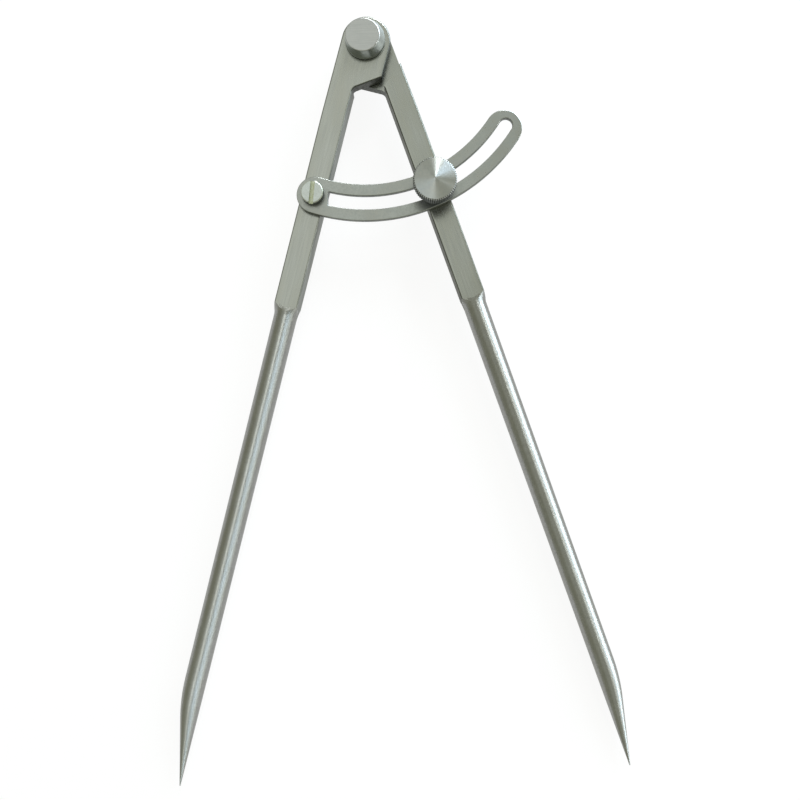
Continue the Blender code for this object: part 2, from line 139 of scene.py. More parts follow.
# %% [markdown]
# ## Shading, naming and milling
# Smooth shading bends light over the small faces, but has to break at real corners, so edges
# steeper than a set angle are marked sharp. Slots, laps and holes are cut as in the workshop: a
# tool is moved through the piece, which an exact Boolean does, and the result is kept as a mesh.

# %% Smooth, name and cut
SHARP_ANGLE = 30.0


def smooth(mesh):
    """Shade every face smooth, and mark the edges that turn by more than the angle sharp."""
    mesh.shade_smooth()
    mesh.set_sharp_from_angle(angle=math.radians(SHARP_ANGLE))


def new_piece(name, mesh):
    """An object at the origin that shows the mesh."""
    piece = bpy.data.objects.new(name, mesh)
    bpy.context.scene.collection.objects.link(piece)
    return piece


def milled(piece, tools):
    """Cut the tools out of the piece, and keep the result as its mesh."""
    for tool in tools:
        cut = piece.modifiers.new("cut", "BOOLEAN")
        cut.operation = "DIFFERENCE"
        cut.solver = "EXACT"
        cut.object = tool
    graph = bpy.context.evaluated_depsgraph_get()
    mesh = bpy.data.meshes.new_from_object(piece.evaluated_get(graph))
    mesh.name = piece.name
    for item in [piece, *tools]:
        bpy.data.objects.remove(item, do_unlink=True)
    return mesh


print("edges over", SHARP_ANGLE, "degrees stay sharp")

# %% [markdown]
# ## Paths with rounded corners
# Real edges are never sharp. A path is given by a few corners with a radius each, and every
# corner becomes an arc that meets its two sides smoothly. A point is added just outside each arc,
# so that smooth shading bends at the edge and leaves the long straight stretches flat.

# %% Rounded paths
LEAD = 0.04


def rounded_path(corners, radii, segments=6):
    """The arc in a corner starts radius * tan(turn / 2) before it and turns evenly to the next."""
    corners = np.array(corners, float)
    path = [corners[:1]]
    for before, corner, after, radius in zip(corners[:-2], corners[1:-1], corners[2:], radii):
        arriving = (corner - before) / np.linalg.norm(corner - before)
        leaving = (after - corner) / np.linalg.norm(after - corner)
        cross = arriving[0] * leaving[1] - arriving[1] * leaving[0]
        turn = math.atan2(cross, arriving @ leaving)
        reach = radius * math.tan(abs(turn) / 2)
        start = corner - arriving * reach
        side = math.copysign(1.0, turn) * np.array([-arriving[1], arriving[0]])
        centre = start + side * radius
        angle = np.linspace(0.0, turn, segments + 1)[:, None]
        spoke = start - centre
        turned_spoke = np.cos(angle) * spoke + np.sin(angle) * np.array([-spoke[1], spoke[0]])
        path += [(start - arriving * LEAD)[None], centre + turned_spoke,
                 (corner + leaving * (reach + LEAD))[None]]
    path.append(corners[-1:])
    return np.concatenate(path)


print("a square corner of 1 mm has", len(rounded_path([(0, 2), (0, 0), (2, 0)], [1.0])), "points")

# %% [markdown]
# A thread or a knurl is pressed into a path that has points close together, so a second function
# divides the path's steps. The spacing may be one number, or one for each step.

# %% Evenly spaced paths


def resampled(path, spacing):
    """The same path with points added evenly, so that no step is longer than the spacing."""
    steps = np.linalg.norm(np.diff(path, axis=0), axis=1)
    counts = np.maximum(1, np.ceil(steps / spacing).astype(int))
    pieces = [np.linspace(a, b, n, endpoint=False) for a, b, n in zip(path[:-1], path[1:], counts)]
    return np.concatenate([*pieces, path[-1:]])


print("a step of 1 mm at 0.3 mm has", len(resampled(np.array([[0.0, 0.0], [1.0, 0.0]]), 0.3)) - 1,
      "parts")

# %% [markdown]
# ## The leg: square bar, turned down and milled
# Each leg begins as square bar. Its top is an ear round the pivot, its middle keeps the bar's
# section with slightly rounded long edges, and its lower part is turned on a lathe to a round rod
# and a point. The lathe tool runs out of the bar in a cone, which cuts the four flat sides in
# curves: each flat reaches furthest down along its middle.
#
# It could be cut from a block with modifiers, but then every surface would need its own repair. So
# each row of the grid is one section across the leg: x is measured from the line where the two
# closed legs meet, the outer side at +x, and z through the thickness. The letter s is the way down
# the leg from the pivot.

# %% Sizes of the bar and its ear
BAR_WIDTH = 8.0
BAR_THICKNESS = 8.0
FLAT_LENGTH = 88.2
EDGE_RADIUS = 0.5
INNER_LINE = 0.45
EAR_RADIUS = 7.648
EAR_TAPER_LENGTH = 25.0
EAR_SIDE_LENGTH = 9.9
EAR_ROOT_LENGTH = 15.4
EAR_ROOT_RADIUS = 2.0

HALF_THICKNESS = BAR_THICKNESS / 2
SLANT = math.atan2(EAR_RADIUS + INNER_LINE, EAR_ROOT_LENGTH - EAR_SIDE_LENGTH)
FILLET_LINE = EAR_ROOT_LENGTH + EAR_ROOT_RADIUS * math.tan(SLANT / 2)
print("the ear's foot slants at", round(math.degrees(SLANT), 1), "degrees")

# %% Sizes of the shoulder, the rod and the point
SHOULDER_ANGLE = math.radians(35.0)
SHOULDER_FILLET = 4.0
ROD_TOP_DIAMETER = 7.4
ROD_TOP_INSET = 0.40
ROD_LOW_DIAMETER = 6.85
ROD_LOW_INSET = 0.20
POINT_REACH = 242.4
POINT_CURVE_LENGTH = 13.0
POINT_CONE_LENGTH = 21.0
TIP_RADIUS = 0.15

FILLET_REACH = SHOULDER_FILLET * math.tan(SHOULDER_ANGLE / 2)
ROD_START = FLAT_LENGTH + (BAR_THICKNESS - ROD_TOP_DIAMETER) / 2 / math.tan(SHOULDER_ANGLE)
CONE_START = POINT_REACH - POINT_CONE_LENGTH
POINT_START = CONE_START - POINT_CURVE_LENGTH
print("the rod runs from", round(ROD_START, 1), "to", POINT_START, "mm below the pivot")

# %% [markdown]
# The outline has an outer and an inner side. Each is a function of s and of d, the depth below the
# surface, because the rounded edge needs the same outline a little further in. Moving a circle
# inwards changes its radius, and moving a slanted line inwards shifts it by d / cos(slant).

# %% The two sides of the outline


def outer_side(s, d):
    """x of the outer side, d into the steel: sqrt((R - d)^2 - s^2) round the ear of radius R, then
    a straight line from R - d out to the bar's width less d, and level from there on."""
    ear = np.sqrt(np.clip((EAR_RADIUS - d) ** 2 - s ** 2, 0.0, None))
    taper = EAR_RADIUS + (BAR_WIDTH - EAR_RADIUS) * np.clip(s / EAR_TAPER_LENGTH, 0.0, 1.0)
    return np.where(s < 0.0, ear, taper - d)


def inner_side(s, d):
    """x of the inner side, d into the steel, from the ear's circle down to the leg's inner line.

    The ear's straight side is -(R - d). Its slanted foot starts at the straight side's end and
    shifts by d / cos(slant) along x. The hollow at its root is a circle whose radius grows by d.
    """
    ear = -np.sqrt(np.clip((EAR_RADIUS - d) ** 2 - s ** 2, 0.0, None))
    slanted = -EAR_RADIUS + (s - EAR_SIDE_LENGTH) * math.tan(SLANT) + d / math.cos(SLANT)
    radius = EAR_ROOT_RADIUS + d
    below = FILLET_LINE - s
    hollow = INNER_LINE - EAR_ROOT_RADIUS + np.sqrt(np.clip(radius ** 2 - below ** 2, 0.0, None))
    x = np.maximum(-(EAR_RADIUS - d), slanted)
    x = np.where(below < radius * math.sin(SLANT), hollow, x)
    x = np.where(below < 0.0, INNER_LINE + d, x)
    return np.where(s < 0.0, ear, x)


print("width at the flats:", BAR_WIDTH - INNER_LINE, "mm")

# %% [markdown]
# A section has one column for each point round it: up the outer side, over the rounded edge,
# across the face, and so on round. A column is described by its share of the way from the outer
# to the inner side, how far it lies inside the outline, and its height. Near the top of the ear
# the section is too narrow for the whole edge, and the clip lets its columns close up there.

# %% Columns of a leg's section
WALL_COLUMNS = 8
EDGE_COLUMNS = 8
FACE_COLUMNS = 16

turn = np.linspace(0.0, math.pi / 2, EDGE_COLUMNS + 1)
edge_depth = EDGE_RADIUS * (1.0 - np.cos(turn))
wall = np.linspace(0.0, HALF_THICKNESS - EDGE_RADIUS, WALL_COLUMNS + 1)
across = np.linspace(0.0, 1.0, FACE_COLUMNS + 1)[1:-1]

quarter_depth = np.concatenate([np.zeros(WALL_COLUMNS), edge_depth])
quarter_wall = np.concatenate([wall[:-1], np.full(EDGE_COLUMNS + 1, wall[-1])])
face_depth = np.full(len(across), EDGE_RADIUS)
face_wall = np.full(len(across), wall[-1])
half_share = np.concatenate([np.zeros(len(quarter_depth)), across, np.ones(len(quarter_depth))])
half_depth = np.concatenate([quarter_depth, face_depth, quarter_depth[::-1]])
half_wall = np.concatenate([quarter_wall, face_wall, quarter_wall[::-1]])


def whole_round(half):
    """The half section, the same half backwards for the other face, and the first column again."""
    return np.concatenate([half, half[-2:0:-1], half[:1]])


column_share, column_depth = whole_round(half_share), whole_round(half_depth)
column_wall = whole_round(half_wall)
column_up = np.concatenate([np.ones(len(half_share)), -np.ones(len(half_share) - 2), [1.0]])
print("columns round a section:", len(column_share) - 1)

# %% Rows on the bar


def flat_rows(s):
    """Sections of the bar: x between the two sides, z on a quarter circle at the edges."""
    s = np.asarray(s, float)
    s = s[:, None] if s.ndim == 1 else s
    depth = np.where(s < 0.0, np.minimum(column_depth, EAR_RADIUS + s), column_depth)
    x = (1.0 - column_share) * outer_side(s, depth) + column_share * inner_side(s, depth)
    rise = np.sqrt(np.clip(EDGE_RADIUS ** 2 - (EDGE_RADIUS - depth) ** 2, 0.0, None))
    z = column_up * (column_wall + rise)
    return np.stack([x, np.broadcast_to(-s, x.shape), z], axis=-1)


bar_section = flat_rows([FLAT_LENGTH])[0]
print("bar section:", np.ptp(bar_section, axis=0).round(2), "mm")

# %% [markdown]
# ## The turned shoulder
# Below the flats each column keeps its direction from the rod's axis. The tool runs out of the
# square bar in a cone with a large hollow at its foot, the tool's run-out, and so the flat ends in
# a curve. A column leaves the flat where it meets the cone, or, if it lies no deeper than the
# hollow is high, where it meets the hollow. Both are worked out from how much steel is cut off it.

# %% Where each column meets the shoulder
axis_x = ROD_TOP_INSET + ROD_TOP_DIAMETER / 2
column_turn = np.arctan2(bar_section[:, 2], bar_section[:, 0] - axis_x)
column_reach = np.hypot(bar_section[:, 2], bar_section[:, 0] - axis_x)
cut_off = np.maximum(0.0, column_reach - ROD_TOP_DIAMETER / 2)
hollow_height = SHOULDER_FILLET * (1.0 - math.cos(SHOULDER_ANGLE))
hollow_turn = np.arccos(1.0 - np.minimum(cut_off, hollow_height) / SHOULDER_FILLET)
HOLLOW_END = ROD_START + FILLET_REACH
shoulder_meets = np.where(
    cut_off < hollow_height, HOLLOW_END - SHOULDER_FILLET * np.sin(hollow_turn),
    ROD_START - cut_off / math.tan(SHOULDER_ANGLE))
print("the flats end", shoulder_meets.min().round(1), "to", shoulder_meets.max().round(1),
      "mm down")

# %% Rows on the shoulder
CONE_ROWS = 8
HOLLOW_ROWS = 11


def shoulder_rows():
    """Straight down the cone, then the hollow's arc of radius F: s = end - F sin(turn) and
    r = rod + F (1 - cos(turn)), with the turn running from the column's own one to 0."""
    share = np.linspace(0.0, 1.0, CONE_ROWS)[1:, None]
    hollow_start = ROD_START - FILLET_REACH * math.cos(SHOULDER_ANGLE)
    cone_s = shoulder_meets + (np.maximum(shoulder_meets, hollow_start) - shoulder_meets) * share
    cone_foot = ROD_TOP_DIAMETER / 2 + np.minimum(cut_off, hollow_height)
    cone_r = column_reach + (cone_foot - column_reach) * share
    turn = hollow_turn * np.linspace(1.0, 0.0, HOLLOW_ROWS)[1:, None]
    hollow_s = HOLLOW_END - SHOULDER_FILLET * np.sin(turn)
    hollow_r = ROD_TOP_DIAMETER / 2 + SHOULDER_FILLET * (1.0 - np.cos(turn))
    s = np.concatenate([cone_s, hollow_s])
    r = np.concatenate([cone_r, hollow_r])
    return np.stack([axis_x + r * np.cos(column_turn), -s, r * np.sin(column_turn)], axis=-1)


print("rows on the shoulder:", len(shoulder_rows()))

# %% [markdown]
# ## The rod and its point
# The rod tapers a little. Its point is turned with a hand-guided tool: the profile bends away from
# the rod in a parabola and goes on as a straight cone, which ends in a tiny round tip. The rod's
# inner side stays close to the line between the legs, so that the points meet when they close.

# %% Rod and point
ROD_ROWS = 80
POINT_ROWS = 56
TIP_ROWS = 6


def rod_rows(s, diameter, inset):
    """Circles across the rod: x = inset + r + r cos(a), z = r sin(a), a the column's direction."""
    radius = np.asarray(diameter)[:, None] / 2
    x = np.asarray(inset)[:, None] + radius + radius * np.cos(column_turn)
    z = radius * np.sin(column_turn)
    return np.stack([x, np.broadcast_to(-s[:, None], x.shape), z], axis=-1)


def point_diameter(s):
    """Rod - slope * t^2 / (2 * curve length) at t past its end, then tip + slope * distance to
    the end of the point: a parabola that leaves the rod smoothly, and a cone tangent to it."""
    slope = (ROD_LOW_DIAMETER - 2 * TIP_RADIUS) / (POINT_CONE_LENGTH + POINT_CURVE_LENGTH / 2)
    curve = ROD_LOW_DIAMETER - slope * (s - POINT_START) ** 2 / (2 * POINT_CURVE_LENGTH)
    cone = 2 * TIP_RADIUS + slope * (POINT_REACH - s)
    return np.where(s < CONE_START, curve, cone)


def rod_and_point_rows():
    """The rod's diameter changes in proportion to s. The tip is a quarter circle."""
    rod_s = np.linspace(HOLLOW_END, POINT_START, ROD_ROWS)[1:]
    share = (rod_s - ROD_START) / (POINT_START - ROD_START)
    rod_diameter = ROD_TOP_DIAMETER + (ROD_LOW_DIAMETER - ROD_TOP_DIAMETER) * share
    rod_inset = ROD_TOP_INSET + (ROD_LOW_INSET - ROD_TOP_INSET) * share
    point_s = np.linspace(POINT_START, POINT_REACH - TIP_RADIUS, POINT_ROWS)[1:]
    bend = np.linspace(0.0, math.pi / 2, TIP_ROWS)[1:]
    tip_s = POINT_REACH - TIP_RADIUS + TIP_RADIUS * np.sin(bend)
    tip_diameter = point_diameter(point_s[-1:]) * np.cos(bend)
    tip_inset = TIP_RADIUS - tip_diameter / 2
    end_s = np.concatenate([point_s, tip_s])
    end_diameter = np.concatenate([point_diameter(point_s), tip_diameter])
    end_inset = ROD_LOW_INSET + np.concatenate([np.zeros(len(point_s)), tip_inset])
    return np.concatenate([
        rod_rows(rod_s, rod_diameter, rod_inset), rod_rows(end_s, end_diameter, end_inset)])


print("rows on the rod and point:", len(rod_and_point_rows()))

# %% [markdown]
# ## All rows together
# The rows crowd together where the outline bends: round the ear, down its foot, and at the end of
# the flats, where the last rows curve to meet the shoulder. Rows past the flats are marked as
# turned, because the lathe leaves another finish than the drawing bench.

# %% The leg's mesh
EAR_ROWS = 28
EAR_SIDE_STEP = 0.5
FOOT_ROWS = 34
FLAT_STEP = 0.8
END_ROWS = 4
SIDE_MARGIN, ROOT_MARGIN, SHOULDER_MARGIN = 0.2, 0.6, 0.4


def bar_rows():
    """The ear's half circle in even angles, its side, its slanted foot and root, and the flat."""
    ear = -EAR_RADIUS * np.cos(np.linspace(0.0, math.pi / 2, EAR_ROWS))
    ear_side = np.arange(EAR_SIDE_STEP, EAR_SIDE_LENGTH - SIDE_MARGIN, EAR_SIDE_STEP)
    foot = np.linspace(EAR_SIDE_LENGTH, FILLET_LINE, FOOT_ROWS)
    flat_end = shoulder_meets.min() - SHOULDER_MARGIN
    flat = np.arange(FILLET_LINE + ROOT_MARGIN, flat_end, FLAT_STEP)
    rows = flat_rows(np.concatenate([ear, ear_side, foot, flat]))
    last = -rows[-1, 0, 1]
    share = np.linspace(0.0, 1.0, END_ROWS)[1:, None]
    return np.concatenate([rows, flat_rows(last + (shoulder_meets - last) * share)])


def leg_mesh():
    """All rows, with U round the section and V down the leg. Rows past the flats are turned."""
    on_bar = bar_rows()
    points = np.concatenate([on_bar, shoulder_rows(), rod_and_point_rows()])
    rings = np.linalg.norm(np.diff(points, axis=1), axis=-1)
    u = np.concatenate([np.zeros((len(points), 1)), np.cumsum(rings, axis=1)], axis=1)
    mesh = grid_mesh("leg", points, np.stack([u, -points[..., 1]], axis=-1))
    turned = np.zeros(points.shape[:2], np.float32)
    turned[len(on_bar):] = 1.0
    mesh.attributes.new("turned", "FLOAT", "POINT").data.foreach_set("value", turned.ravel())
    weld(mesh)
    return mesh


print("rows on the bar:", len(bar_rows()))

# %% [markdown]
# ## Turned pieces
# The pivot's bolt and nut, the arc's screw and the clamp screw come off a lathe. Each is a profile
# of (radius, height) carried round the axis. A thread or a knurl is a relief on it: the radius
# changes with the angle too, which a plain revolve can't do.

# %% Turned surfaces


def turned_mesh(name, profile, turns, relief=None):
    """Row i at angle a is (R cos a, R sin a, h) with R = r + relief. U runs down the profile."""
    angle = np.linspace(0.0, 2.0 * math.pi, turns + 1)
    radius, height = profile[:, :1], profile[:, 1:]
    if relief is not None:
        radius = radius + relief(height, angle, radius)
    x = radius * np.cos(angle)
    y = radius * np.sin(angle)
    points = np.stack([x, y, np.broadcast_to(height, x.shape)], axis=-1)
    steps = np.linalg.norm(np.diff(profile, axis=0), axis=1)
    u = np.broadcast_to(np.concatenate([[0.0], np.cumsum(steps)])[:, None], x.shape)
    v = np.broadcast_to(angle / (2.0 * math.pi), x.shape)
    mesh = grid_mesh(name, points, np.stack([u, v], axis=-1))
    weld(mesh)
    return mesh


print("turned pieces have U down the profile and V round the axis")

# %% [markdown]
# The screws are M4: their pitch is 0.7 mm, and a metric thread is 0.54 of its pitch deep. The
# groove has sloping flanks and a flat bottom: a triangle wave, scaled up and cut off at 0 and 1. It
# fades in over one pitch at either end.

# %% Thread
THREAD_PITCH = 0.7
THREAD_DEPTH = 0.54 * THREAD_PITCH
FLANK_SLOPE = 3.2
GROOVE_LEVEL = 1.25
RADIUS_TOLERANCE = 0.01


def thread_relief(bottom, top, major_radius):
    """Depth * clip(level - slope * |phase - 0.5|), phase = height / pitch - angle / turn."""

    def relief(height, angle, radius):
        phase = (height / THREAD_PITCH - angle / (2.0 * math.pi)) % 1.0
        groove = np.clip(GROOVE_LEVEL - np.abs(phase - 0.5) * FLANK_SLOPE, 0.0, 1.0)
        fade = np.clip((height - bottom) / THREAD_PITCH, 0.0, 1.0)
        fade = fade * np.clip((top - height) / THREAD_PITCH, 0.0, 1.0)
        on_shank = np.isclose(radius, major_radius, rtol=0.0, atol=RADIUS_TOLERANCE)
        return -THREAD_DEPTH * groove * fade * on_shank

    return relief


print("thread depth:", round(THREAD_DEPTH, 2), "mm")

# %% [markdown]
# ## Levels and places
# The hinge's level and the screws' places come from the frame, so each piece sits where the packed
# model has it.

# %% Levels from the frame


def node_box(node):
    """The lowest and highest corners of a node in mm: metres / 0.001."""
    low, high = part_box(node)
    return np.array(low) / MM, np.array(high) / MM


hinge = next(joint for joint in frame["joints"] if joint["name"] == "leg_hinge")
LEG_LEVEL = hinge["pos_m"][2] / MM
OPENING = -math.radians(hinge["range_deg"][0])
ARC_BOTTOM, ARC_TOP = node_box("wing_arc")[0][2], node_box("wing_arc")[1][2]
clamp_low, clamp_high = node_box("clamp_screw")
screw_low, screw_high = node_box("arc_screw")
bolt_low, bolt_high = node_box("pivot_bolt")
nut_low, nut_high = node_box("pivot_nut")
clamp_centre = (clamp_low + clamp_high)[:2] / 2
screw_centre = (screw_low + screw_high)[:2] / 2
print("legs open by", round(math.degrees(OPENING), 1), "degrees; clamp at", clamp_centre.round(2))

# %% [markdown]
# ## Tools that cut
# A mill and a drill are solids with the cut's outline and enough height to pass through the steel.

# %% Cutters
DRILL_SIDES = 96


def prism(name, outline, bottom, top):
    """A cutter: the outline at two heights, with walls between."""
    outline = np.array(outline, float)
    count = len(outline)
    low = np.column_stack([outline, np.full(count, bottom)])
    high = np.column_stack([outline, np.full(count, top)])
    mesh = bpy.data.meshes.new(name)
    walls = [(i, (i + 1) % count, count + (i + 1) % count, count + i) for i in range(count)]
    faces = [tuple(range(count))[::-1], tuple(range(count, 2 * count)), *walls]
    mesh.from_pydata((np.concatenate([low, high]) * MM).tolist(), [], faces)
    weld(mesh)
    return new_piece(name, mesh)


def drill(name, diameter, centre):
    """A cylinder through the leg's whole thickness: the points of a circle as an outline."""
    angle = np.linspace(0.0, 2.0 * math.pi, DRILL_SIDES, endpoint=False)
    circle = np.stack([np.cos(angle), np.sin(angle)], axis=-1) * diameter / 2 + centre
    return prism(name, circle, -BAR_THICKNESS, BAR_THICKNESS)


print("cutters ready:", prism.__name__, drill.__name__)

# %% [markdown]
# ## Finishing the legs
# The ear is milled to half its thickness, with a slanted step that the other ear stops against
# when the compass closes. Then the pivot hole and the screw hole are drilled.

# %% The half lap and the holes
LAP_CLEARANCE = 0.30
LAP_LEVEL = -0.15
PIVOT_DIAMETER = 5.0
THREAD_DIAMETER = 4.0
BORE_CLEARANCE = 0.30
ARC_RADIUS = 51.5
HOLE_OFFSET = BAR_WIDTH / 2
HOLE_ANGLE = math.asin(HOLE_OFFSET / ARC_RADIUS)


def lap_cutter():
    """What the mill takes off: the half of the ear above its middle, up to the slanted step."""
    up_step = np.array([math.sin(SLANT), math.cos(SLANT)])
    away = np.array([up_step[1], -up_step[0]]) * LAP_CLEARANCE
    foot = np.array([0.0, -EAR_ROOT_LENGTH]) + away
    foot = foot + up_step * (INNER_LINE - foot[0]) / up_step[0]
    end = np.array([EAR_RADIUS, -EAR_SIDE_LENGTH]) + away + up_step * BAR_WIDTH
    reach = 2 * BAR_WIDTH
    below = foot[1] - 2 * EAR_ROOT_RADIUS
    outline = [(-reach, below), (INNER_LINE, below), foot, end, (end[0], reach), (-reach, reach)]
    return prism("lap_cutter", outline, LAP_LEVEL, BAR_THICKNESS)


hole_length = math.sqrt(ARC_RADIUS ** 2 - HOLE_OFFSET ** 2)
milled_leg = milled(new_piece("leg", leg_mesh()), [
    lap_cutter(),
    drill("pivot_drill", PIVOT_DIAMETER + 2 * BORE_CLEARANCE, (0.0, 0.0)),
    drill("screw_drill", THREAD_DIAMETER + 2 * BORE_CLEARANCE, (HOLE_OFFSET, -hole_length))])
smooth(milled_leg)
print("faces of a leg:", len(milled_leg.polygons))

# %% [markdown]
# Both legs are made alike. The left one is turned over, so that its ear comes in front and the two
# half laps face each other, and each is swung out by half the opening.

# %% Two legs


def placed_leg(name, turn_over, opening):
    """The leg turned over about its length, swung about the pivot, and lifted to the hinge."""
    mesh = milled_leg.copy()
    mesh.name = name
    lift = Matrix.Translation((0.0, 0.0, LEG_LEVEL * MM))
    mesh.transform(lift @ Matrix.Rotation(opening, 4, "Z") @ Matrix.Rotation(turn_over, 4, "Y"))
    return new_piece(name, mesh)


right_leg = placed_leg("right_leg_of_bar", 0.0, OPENING / 2)
left_leg = placed_leg("left_leg_of_bar", math.pi, -OPENING / 2)
print("legs:", right_leg.name, left_leg.name)

# %% [markdown]
# ## The slotted arc
# The arc is pressed from sheet, then tumbled, which rounds its edges a little. Its faces are flat,
# so only its edges need a grid: a rounded edge profile is carried along three closed outlines, the
# rim, the slot and the screw hole. Because every bend is an arc of a circle, moving an outline
# into the steel only changes radii. The flat faces then fill what lies between the outlines.

# %% Sizes of the arc
ARC_WIDTH = 11.3
ARC_EDGE = 0.22
MAX_OPENING = math.radians(67.3)
SLOT_WIDTH = 4.2
SLOT_CORNER = 0.5
SLOT_START_OFFSET = 0.5
SLOT_START_LEAN = 0.95
HOLE_AT = -HOLE_ANGLE
SLOT_END = MAX_OPENING + HOLE_ANGLE
RIM_START_INSET, RIM_END_INSET = 0.6, 1.2
RIM_START = HOLE_AT + RIM_START_INSET / ARC_RADIUS
RIM_END = SLOT_END - RIM_END_INSET / ARC_RADIUS
ROUND_STEPS = 40
CORNER_STEPS = 8
HOLE_STEPS = 72
SWEEP_STEPS = 110


def polar(radius, angle):
    """A point of the arc: angle is measured from the left leg's inner line to the right."""
    return np.stack([radius * np.sin(angle), -radius * np.cos(angle)], axis=-1)


def bow(angle, radius, along, start, end, steps=ROUND_STEPS):
    """Part of a circle about a point of the slot's line: 0 points outwards, 90 degrees ahead."""
    outwards = polar(1.0, angle)
    ahead = np.array([-outwards[1], outwards[0]])
    turn = np.linspace(start, end, steps)[:, None]
    return polar(along, angle) + radius * (np.cos(turn) * outwards + np.sin(turn) * ahead)


print("the slot ends at", round(math.degrees(SLOT_END), 1), "degrees")

# %% The rim and the screw hole


def rim_outline(depth):
    """Two rings joined by round ends, all drawn in by the depth."""
    half = ARC_WIDTH / 2 - depth
    sweep = np.linspace(RIM_START, RIM_END, SWEEP_STEPS)[1:-1]
    return np.concatenate([
        polar(ARC_RADIUS + half, sweep),
        bow(RIM_END, half, ARC_RADIUS, 0.0, math.pi),
        polar(ARC_RADIUS - half, sweep[::-1]),
        bow(RIM_START, half, ARC_RADIUS, math.pi, 2.0 * math.pi)])


def hole_outline(depth):
    """A circle whose radius grows by the depth."""
    radius = THREAD_DIAMETER / 2 + BORE_CLEARANCE + depth
    return bow(HOLE_AT, radius, ARC_RADIUS, 0.0, 2.0 * math.pi, HOLE_STEPS)[:-1]


print("rim points:", len(rim_outline(0.0)))

# %% [markdown]
# The slot's far end is round. Its near end is nearly straight and leans, as the punch left it, and
# it has two small corners, one of them wider open than the other.

# %% The slot


def slot_outline(depth):
    """Two rings, a round far end and a straight, leaning near end, all grown by the depth.

    The near end's two corners are arcs whose centres stay and whose radius grows.
    """
    half = SLOT_WIDTH / 2
    corner = SLOT_CORNER + depth
    lean = math.atan2(SLOT_START_LEAN, SLOT_WIDTH)
    near = (SLOT_START_OFFSET + SLOT_CORNER) / ARC_RADIUS
    lean_out = SLOT_START_LEAN - 2 * SLOT_CORNER * math.tan(lean)
    outer_near = near + lean_out / (ARC_RADIUS + half)
    sweep_out = np.linspace(outer_near, SLOT_END, SWEEP_STEPS)[1:-1]
    sweep_back = np.linspace(SLOT_END, near, SWEEP_STEPS)[1:-1]
    outer_corner = bow(outer_near, corner, ARC_RADIUS + half - SLOT_CORNER,
                       lean - math.pi / 2, 0.0, CORNER_STEPS)
    inner_corner = bow(near, corner, ARC_RADIUS - half + SLOT_CORNER,
                       math.pi, 1.5 * math.pi + lean, CORNER_STEPS)
    return np.concatenate([
        outer_corner, polar(ARC_RADIUS + half + depth, sweep_out),
        bow(SLOT_END, half + depth, ARC_RADIUS, 0.0, math.pi),
        polar(ARC_RADIUS - half - depth, sweep_back), inner_corner])


print("slot points:", len(slot_outline(0.0)))

# %% Edges and faces of the arc
EDGE_POINTS = 6


def edge_strip(outline, thickness):
    """The edge profile, over the top edge and down to the lower one, carried round an outline.

    At turn t the profile lies edge * (1 - cos t) deep and edge * (1 - sin t) from the face.
    """
    turn = np.linspace(math.pi / 2, 0.0, EDGE_POINTS)
    depth = np.concatenate([[ARC_EDGE + LEAD], ARC_EDGE * (1.0 - np.cos(turn))])
    height = np.concatenate([[0.0], ARC_EDGE * (1.0 - np.sin(turn))])
    depth = np.concatenate([depth, depth[::-1]])
    height = np.concatenate([thickness - height, height[::-1]])
    rings = [outline(d) for d in depth]
    columns = [np.column_stack([ring, np.full(len(ring), h)]) for ring, h in zip(rings, height)]
    points = np.stack(columns, axis=1)
    return np.concatenate([points, points[:1]])


def arc_mesh():
    """Three edge strips in one mesh, and the two flat faces that fill what lies between them."""
    shape = bmesh.new()
    for outline in (rim_outline, slot_outline, hole_outline):
        strip = edge_strip(outline, ARC_TOP - ARC_BOTTOM)
        part = grid_mesh("strip", strip, strip[..., :2])
        shape.from_mesh(part)
        bpy.data.meshes.remove(part)
    bmesh.ops.remove_doubles(shape, verts=shape.verts, dist=WELD * MM)
    middle = (ARC_TOP - ARC_BOTTOM) / 2 * MM
    open_edges = [edge for edge in shape.edges if edge.is_boundary]
    for is_top in (True, False):
        loop = [edge for edge in open_edges if (edge.verts[0].co.z > middle) == is_top]
        bmesh.ops.triangle_fill(shape, use_beauty=True, edges=loop)
    bmesh.ops.recalc_face_normals(shape, faces=shape.faces)
    mesh = bpy.data.meshes.new("arc")
    shape.to_mesh(mesh)
    shape.free()
    return mesh


arc = new_piece("pressed_arc", arc_mesh())
lift = Matrix.Translation((0.0, 0.0, ARC_BOTTOM * MM))
arc.data.transform(lift @ Matrix.Rotation(-OPENING / 2, 4, "Z"))
print("faces of the arc:", len(arc.data.polygons))

# %% [markdown]
# The tumbled face has no direction of its own, so its UV map is simply x and y in millimetres.

# %% The arc's UV map
vertex_place = np.zeros(len(arc.data.vertices) * 3)
arc.data.vertices.foreach_get("co", vertex_place)
corner_vertex = np.zeros(len(arc.data.loops), int)
arc.data.loops.foreach_get("vertex_index", corner_vertex)
planar = vertex_place.reshape(-1, 3)[corner_vertex, :2] / MM
arc.data.uv_layers["surface"].data.foreach_set("uv", planar.ravel().astype(np.float32))
smooth(arc.data)
print("the arc's map spans", np.ptp(planar, axis=0).round(1), "mm")

# %% [markdown]
# ## Pivot bolt and nut
# Both have the same turned head: a rim, then a cone up to a flat face. The bolt's shank is hidden
# in the ears, and the nut's hole is blind. On the front head the face was dressed by hand after
# turning: it lies to the left of the axis and is slightly wider than high, so the cone is broad on
# one side and narrow on the other.

# %% Pivot heads
HEAD_DIAMETER = 12.4
HEAD_FACE_DIAMETER = 9.9
HEAD_RIM_HEIGHT = 1.2
HEAD_EDGE = 0.25
FACE_EDGE = 0.3
CONE_EDGE = 0.5
HEAD_SHIFT = -0.3
FACE_SHIFT = -0.6
FACE_STRETCH = 0.04
SEAT_TOLERANCE = 0.01


